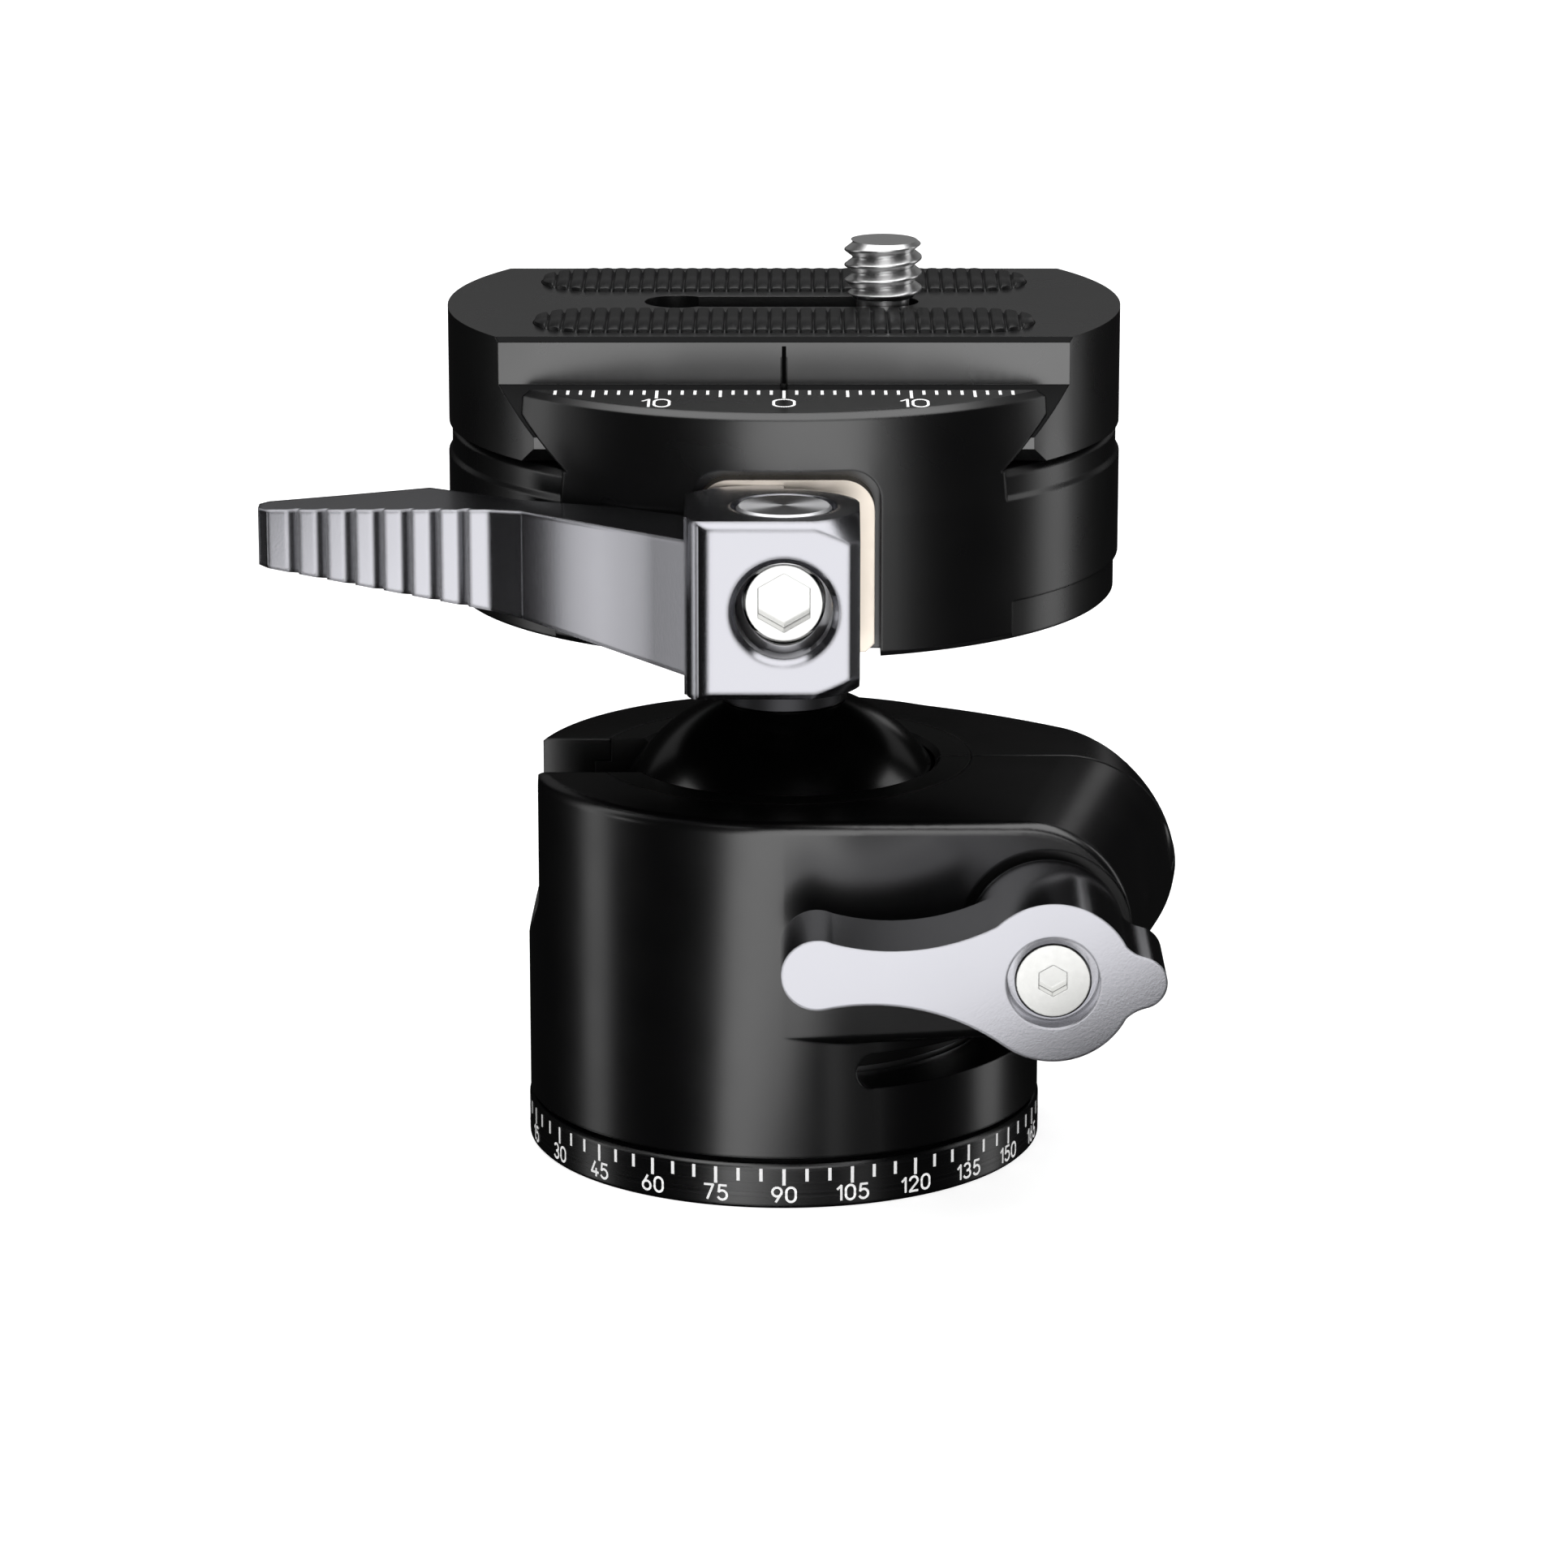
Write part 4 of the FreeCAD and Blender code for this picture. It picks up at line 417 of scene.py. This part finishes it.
marks = bmesh.new()
for step in range(-JAW_TICKS, JAW_TICKS + 1):
    reach = JAW_TICK
    if step % JAW_LONG_STEP == 0:
        reach = JAW_LONG_TICK
    elif step % JAW_MIDDLE_STEP == 0:
        reach = JAW_MIDDLE_TICK
    middle = step * MM
    stroke(marks, middle - JAW_TICK_WIDTH / 2, middle + JAW_TICK_WIDTH / 2, -JAW_EDGE - reach, -JAW_EDGE)
for text, middle, spread in JAW_NUMBERS:
    write(marks, text, middle * MM, -JAW_EDGE - JAW_NUMERAL_FOOT, JAW_NUMERAL, JAW_PEN, spread)
for vertex in marks.verts:
    vertex.co.z = JAW_TOP + PAINT_PROUD
jaw_scale = bpy.data.meshes.new("jaw_scale")
marks.to_mesh(jaw_scale)
marks.free()
piece("jaw_scale", jaw_scale, "clamp", scale_white_glowing)


# Jaw springs: two compression springs of steel wire behind the rear jaw, out of sight. They push the
# jaw open when the lever lets go.
SPRING_WIRE = 0.45 * MM
SPRING_TURNS = 7
COIL_STEPS = 20
spring_low, spring_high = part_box("jaw_springs")
for side, label in ((-1, "left"), (1, "right")):
    span = (spring_high.z - spring_low.z) / 2
    middle = (spring_high.x - span) if side > 0 else (spring_low.x + span)
    height = (spring_low.z + spring_high.z) / 2
    coil = bpy.data.curves.new("jaw_spring_" + label, "CURVE")
    coil.dimensions = "3D"
    coil.bevel_depth = SPRING_WIRE / 2
    coil.bevel_resolution = 3
    path = coil.splines.new("POLY")
    count = SPRING_TURNS * COIL_STEPS
    path.points.add(count)
    run = spring_high.y - spring_low.y - SPRING_WIRE
    for step in range(count + 1):
        turn = math.tau * step / COIL_STEPS
        path.points[step].co = (middle + (span - SPRING_WIRE / 2) * math.cos(turn),
                                spring_low.y + SPRING_WIRE / 2 + run * step / count,
                                height + (span - SPRING_WIRE / 2) * math.sin(turn), 1)
    spring = bpy.data.objects.new("jaw_spring_" + label, coil)
    bpy.context.scene.collection.objects.link(spring)
    coil.materials.append(keeper_steel)
    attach(spring, "clamp")
    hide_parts("jaw_springs")


# Barrel pin: the steel pin that the clamp lever turns on. Its end is faced on the lathe, and the
# fine rings fan the light out from the middle. The head below is left dark.
PIN_HEAD_TOP = 50 * MM
pin_steel, place = finish("steel_faced_on_the_lathe")
tangent = add(pin_steel, "Tangent", direction_type="RADIAL", axis="Z")
height = add(pin_steel, "SeparateXYZ", Vector=place)
end = add(pin_steel, "MapRange", Value=height.outputs["Z"], From_Min=PIN_HEAD_TOP,
          From_Max=PIN_HEAD_TOP + MM)
bright = add(pin_steel, "Mix", data_type="RGBA", Factor=end.outputs["Result"])
bright.inputs[6].default_value = paint("#3a3a3c")
bright.inputs[7].default_value = paint("#e6e6e8")
coat(pin_steel, eased(pin_steel, 0.1 * MM), Base_Color=bright.outputs[2], Metallic=1.0, Roughness=0.34,
     Anisotropic=0.85, Tangent=tangent.outputs["Tangent"])
wear(pin_steel, "barrel_pin")


# Quick-release plate: milled aluminium with dovetail flanks, blasted and anodised black. It is a
# little paler than the clamp, and its edges are broken less. An index line is engraved in its front.
plate_black = blasted_black("anodised_aluminium_plate_black", "#0c0c0d", 0.28, ior=1.6, soft=0.08 * MM)
wear(plate_black, "plate")

# The plate's 45 degree faces, the dovetail flanks that the jaws rub dull and with them the small chamfers
# along the top edges, are duller, with a darker dye and a weaker reflection: painted shade that keeps them
# dark under the light from above.
SHADED_SLOPE_RISE = (0.6, 0.8)
slope_worn_and_shaded_black = blasted_black("anodised_aluminium_slope_worn_and_painted_shade_black", "#060607", 0.5, ior=1.15)
nodes["plate"].data.materials.append(slope_worn_and_shaded_black)
for face in nodes["plate"].data.polygons:
    if SHADED_SLOPE_RISE[0] < face.normal.z < SHADED_SLOPE_RISE[1]:
        face.material_index = 1

INDEX_WIDTH = 0.34 * MM
INDEX_FOOT = 66.9 * MM
INDEX_TOP = 69.9 * MM
PLATE_FRONT_FOOT = 68 * MM

# A dead black sheet laid in the index groove: painted shade that makes it read as a groove.
index_groove_painted_shade = engraving_paint("painted_shade_in_index_groove", "#020202", 0.7, 0.9, Specular_IOR_Level=0.1)
front = min(v.co.y for v in nodes["plate"].data.vertices if v.co.z > PLATE_FRONT_FOOT) - PAINT_PROUD
mesh = bpy.data.meshes.new("plate_index_painted_shade")
mesh.from_pydata([(x, front, z) for x, z in ((-INDEX_WIDTH / 2, INDEX_FOOT), (INDEX_WIDTH / 2, INDEX_FOOT),
                                             (INDEX_WIDTH / 2, INDEX_TOP), (-INDEX_WIDTH / 2, INDEX_TOP))],
                 [], [(0, 1, 2, 3)])
piece("plate_index_painted_shade", mesh, "plate", index_groove_painted_shade)


# Grip strips: two moulded rubber pads let into the plate, ribbed crosswise so that the camera
# doesn't twist. They are satin black, and each rib's crown catches a thin line of light.
RIB_PITCH = 1.17 * MM
RIB_DEPTH = 0.4 * MM
RIB_STEPS = 12
RIB_CROWN = 0.12
RIB_LAND = 0.66
STRIP_EDGE = 0.06 * MM
STRIP_TIP = 0.15 * MM

grip_rubber, place = finish("rubber_moulded_black")
bloom = add(grip_rubber, "TexNoise", Vector=place, Scale=1 / (0.25 * MM), Detail=3.0)
bump = add(grip_rubber, "Bump", Strength=0.12, Distance=RELIEF, Height=bloom.outputs["Fac"],
           Normal=eased(grip_rubber, 0.08 * MM))
coat(grip_rubber, bump.outputs["Normal"], Base_Color=paint("#0e0e0f"), Roughness=0.36)

for node in ("front_grip_strip", "rear_grip_strip"):
    low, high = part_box(node)
    middle = (low.y + high.y) / 2
    half = (high.y - low.y) / 2
    straight = high.x - half
    count = round((high.x - low.x) / RIB_PITCH) * RIB_STEPS
    strip = bmesh.new()
    rows = []
    for step in range(count + 1):
        x = low.x + (high.x - low.x) * step / count
        past = max(abs(x) - straight, 0)
        width = max(math.sqrt(max(half * half - past * past, 0)), STRIP_TIP)
        away = abs(step / RIB_STEPS % 1 - 0.5) * 2
        lift = 1 - RIB_CROWN * away - (1 - RIB_CROWN) * max(0, (away - RIB_LAND) / (1 - RIB_LAND))
        top = high.z - RIB_DEPTH * (1 - lift)
        side = [(width, low.z), (width, top - STRIP_EDGE), (width - STRIP_EDGE, top)]
        rows.append([strip.verts.new((x, middle + y, z)) for y, z in
                     [(-y, z) for y, z in side] + side[::-1]])
    for before, after in zip(rows, rows[1:]):
        for i in range(len(before) - 1):
            strip.faces.new((before[i], before[i + 1], after[i + 1], after[i]))
    strip.faces.new(rows[0])
    strip.faces.new(rows[-1][::-1])
    bmesh.ops.recalc_face_normals(strip, faces=strip.faces)
    for face in strip.faces:
        face.smooth = True
    mesh = bpy.data.meshes.new(node + "_ribbed")
    strip.to_mesh(mesh)
    strip.free()
    piece(node + "_ribbed", mesh, "plate", grip_rubber, (node,))


# Camera screw: polished stainless steel with the 1/4 inch photo thread, 20 turns to the inch, rolled
# on. Its slotted head is below, in the plate's underside. Rolling leaves it bright with faint streaks.
rolled_steel, place = finish("stainless_steel_rolled")
streak = add(rolled_steel, "TexNoise", Vector=place, Scale=1 / (0.4 * MM), Detail=3.0)
gloss = add(rolled_steel, "MapRange", Value=streak.outputs["Fac"], To_Min=0.26, To_Max=0.34)
coat(rolled_steel, eased(rolled_steel, 0.1 * MM), Base_Color=paint("#ececec"), Metallic=1.0,
     Roughness=gloss.outputs["Result"])

THREAD_PITCH = 1.27 * MM
THREAD_CREST = 3.15 * MM
THREAD_ROOT = 2.5 * MM
THREAD_TOP = 2.75 * MM
THREAD_START = 71.05 * MM
FLANK_SLOPE = 2.5
CREST_SHARE = 0.15
TOP_CHAMFER_SLOPE = 1.2
RUN_IN = 0.15 * MM
RUN_IN_SLOPE = 1.6
TURN_STEPS = 72
RISE_STEPS = 84

low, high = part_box("camera_screw")
screw_x = (low.x + high.x) / 2
screw = bmesh.new()
screw.from_mesh(nodes["camera_screw"].data)
bmesh.ops.bisect_plane(screw, geom=screw.verts[:] + screw.edges[:] + screw.faces[:],
                       plane_co=(0, 0, THREAD_START), plane_no=(0, 0, 1), clear_outer=True)
rows = []
for level in range(RISE_STEPS + 1):
    z = THREAD_START + (high.z - THREAD_START) * level / RISE_STEPS
    row = []
    for step in range(TURN_STEPS):
        turn = math.tau * step / TURN_STEPS
        phase = (z / THREAD_PITCH - turn / math.tau) % 1.0
        flank = min(max(abs(phase - 0.5) * FLANK_SLOPE - CREST_SHARE, 0), 1)
        reach = THREAD_CREST - (THREAD_CREST - THREAD_ROOT) * flank
        reach = min(reach, THREAD_TOP + (high.z - z) * TOP_CHAMFER_SLOPE)
        reach = min(reach, THREAD_ROOT - RUN_IN + (z - THREAD_START) * RUN_IN_SLOPE)
        row.append(screw.verts.new((screw_x + reach * math.cos(turn), reach * math.sin(turn), z)))
    rows.append(row)
for before, after in zip(rows, rows[1:]):
    for i in range(TURN_STEPS):
        j = (i + 1) % TURN_STEPS
        face = screw.faces.new((before[i], before[j], after[j], after[i]))
        face.smooth = True
screw.faces.new(rows[-1])
mesh = bpy.data.meshes.new("camera_screw_threaded")
screw.to_mesh(mesh)
screw.free()
piece("camera_screw_threaded", mesh, "camera_screw", rolled_steel, ("camera_screw",))


# Camera at the photograph's viewing angle: half a metre in front, above the object's top, and looking
# 15 degrees down through a long lens.
camera = bpy.data.cameras.new("camera")
camera.sensor_width = 36
camera.lens = 139.56
viewer = bpy.data.objects.new("camera", camera)
bpy.context.scene.collection.objects.link(viewer)
viewer.location = (0, -0.48788, 0.16218)
viewer.rotation_euler = (math.radians(74.83), 0, 0)
bpy.context.scene.camera = viewer


# Studio light: a lit card close in front, cut aslant, with dim panels at the sides and a wide soft one
# overhead. The card reaches below the table's height, because upright faces mirror what lies low in
# front of them.
MIDDLE = Vector((0, 0, 0.035))


def panel(name, spot, towards, width, height, radiance):
    """A soft light panel at a spot, facing another."""
    lamp = bpy.data.lights.new(name, "AREA")
    lamp.shape = "RECTANGLE"
    lamp.size = width
    lamp.size_y = height
    lamp.energy = radiance * math.pi * width * height
    holder = bpy.data.objects.new(name, lamp)
    bpy.context.scene.collection.objects.link(holder)
    facing = (Vector(towards) - Vector(spot)).to_track_quat("-Z", "Y").to_matrix().to_4x4()
    holder.matrix_world = Matrix.Translation(spot) @ facing
    holder.visible_camera = False


def around(azimuth, elevation, distance):
    """A spot round the object: azimuth from the front towards +X, elevation above its middle."""
    side, up = math.radians(azimuth), math.radians(elevation)
    return MIDDLE + distance * Vector((math.sin(side) * math.cos(up), -math.cos(side) * math.cos(up),
                                       math.sin(up)))


CARD_Y = -0.16
CARD_CORNERS = ((-0.100, -0.084), (0.084, 0.010), (0.084, 0.094), (-0.0025, 0.133))
CARD_RADIANCE = 2.1
card_mesh = bpy.data.meshes.new("front_card")
card_mesh.from_pydata([(x, CARD_Y, z) for x, z in CARD_CORNERS], [], [(3, 2, 1, 0)])
front_card = bpy.data.objects.new("front_card", card_mesh)
bpy.context.scene.collection.objects.link(front_card)
front_card.visible_camera = False
front_card.visible_shadow = False
card_white, place = finish("lit_card")
add(card_white, "OutputMaterial", Surface=add(card_white, "Emission", Strength=CARD_RADIANCE).outputs[0])
card_mesh.materials.append(card_white)

# Dim panels round the object draw the streaks on its round sides, and the wide one overhead gives the
# level faces their even grey. The tops of plate and jaw mirror the back panel, and the clamp lever's
# arm and the boss each mirror a small card.
panel("right_panel", around(34, -6, 0.9), MIDDLE, 0.20, 0.6, 0.4)
panel("left_strip", around(-92, 10, 0.8), MIDDLE, 0.22, 1.0, 1.1)
panel("right_strip", around(104, 10, 0.8), MIDDLE, 0.25, 1.0, 1.2)
panel("overhead_panel", around(20, 84, 0.8), MIDDLE, 1.1, 1.1, 2.2)
panel("lever_card", (-0.137, -0.047, 0.027), (-0.020, -0.022, 0.054), 0.022, 0.03, 1.3)
panel("back_panel", (0, 0.12, 0.119), (0, 0, 0.08), 0.3, 0.07, 0.15)
panel("boss_card", (0.098, 0.234, 0.098), (0.025, 0, 0.036), 0.03, 0.04, 0.45)


# Floor and background: a plain white table that keeps a faint soft shadow. It throws no light up at
# the object. Its glow grows with the distance, so that it meets the white room without a horizon.
FLOOR = 3
GLOW_NEAR = 0.07
GLOW_FAR = 0.3
MIRRORED_ROOM = 0.006
ROOM_LIGHT = 0.04
floor_mesh = bpy.data.meshes.new("floor")
floor_mesh.from_pydata([(-FLOOR, -FLOOR, 0), (FLOOR, -FLOOR, 0), (FLOOR, FLOOR, 0), (-FLOOR, FLOOR, 0)],
                       [], [(0, 1, 2, 3)])
floor = bpy.data.objects.new("floor", floor_mesh)
bpy.context.scene.collection.objects.link(floor)
floor.visible_glossy = False
floor.visible_shadow = False
floor.visible_diffuse = False
table_white, place = finish("table_white")
rays = add(table_white, "LightPath")
diffuse = add(table_white, "BsdfDiffuse", Color=paint("#d8d8d8"))
away = add(table_white, "VectorMath", operation="LENGTH", Vector=place)
level = add(table_white, "MapRange", Value=away.outputs["Value"], From_Min=GLOW_NEAR, From_Max=GLOW_FAR,
            To_Min=0.8)
glow = add(table_white, "Emission", Color=paint("#ffffff"), Strength=level.outputs["Result"])
lit = add(table_white, "AddShader", a=diffuse.outputs[0], b=glow.outputs[0])
seen = add(table_white, "MixShader", Fac=rays.outputs["Is Camera Ray"], b=diffuse.outputs[0],
           c=lit.outputs[0])
add(table_white, "OutputMaterial", Surface=seen.outputs[0])
floor_mesh.materials.append(table_white)

world = bpy.data.worlds.new("studio")
world.use_nodes = True
world.node_tree.nodes.clear()
bpy.context.scene.world = world
rays = add(world, "LightPath")
faint = add(world, "Math", operation="MULTIPLY", a=rays.outputs["Is Glossy Ray"], b=MIRRORED_ROOM)
shown = add(world, "Math", operation="MAXIMUM", a=rays.outputs["Is Camera Ray"], b=faint.outputs[0])
shown = add(world, "Math", operation="MAXIMUM", a=shown.outputs[0], b=rays.outputs["Is Transmission Ray"])
soft = add(world, "Math", operation="MULTIPLY", a=rays.outputs["Is Diffuse Ray"], b=ROOM_LIGHT)
level = add(world, "Math", operation="MAXIMUM", a=shown.outputs[0], b=soft.outputs[0])
sky = add(world, "Background", Color=paint("#ffffff"), Strength=level.outputs[0])
add(world, "OutputWorld", Surface=sky.outputs[0])
bpy.context.scene.view_settings.view_transform = "Standard"
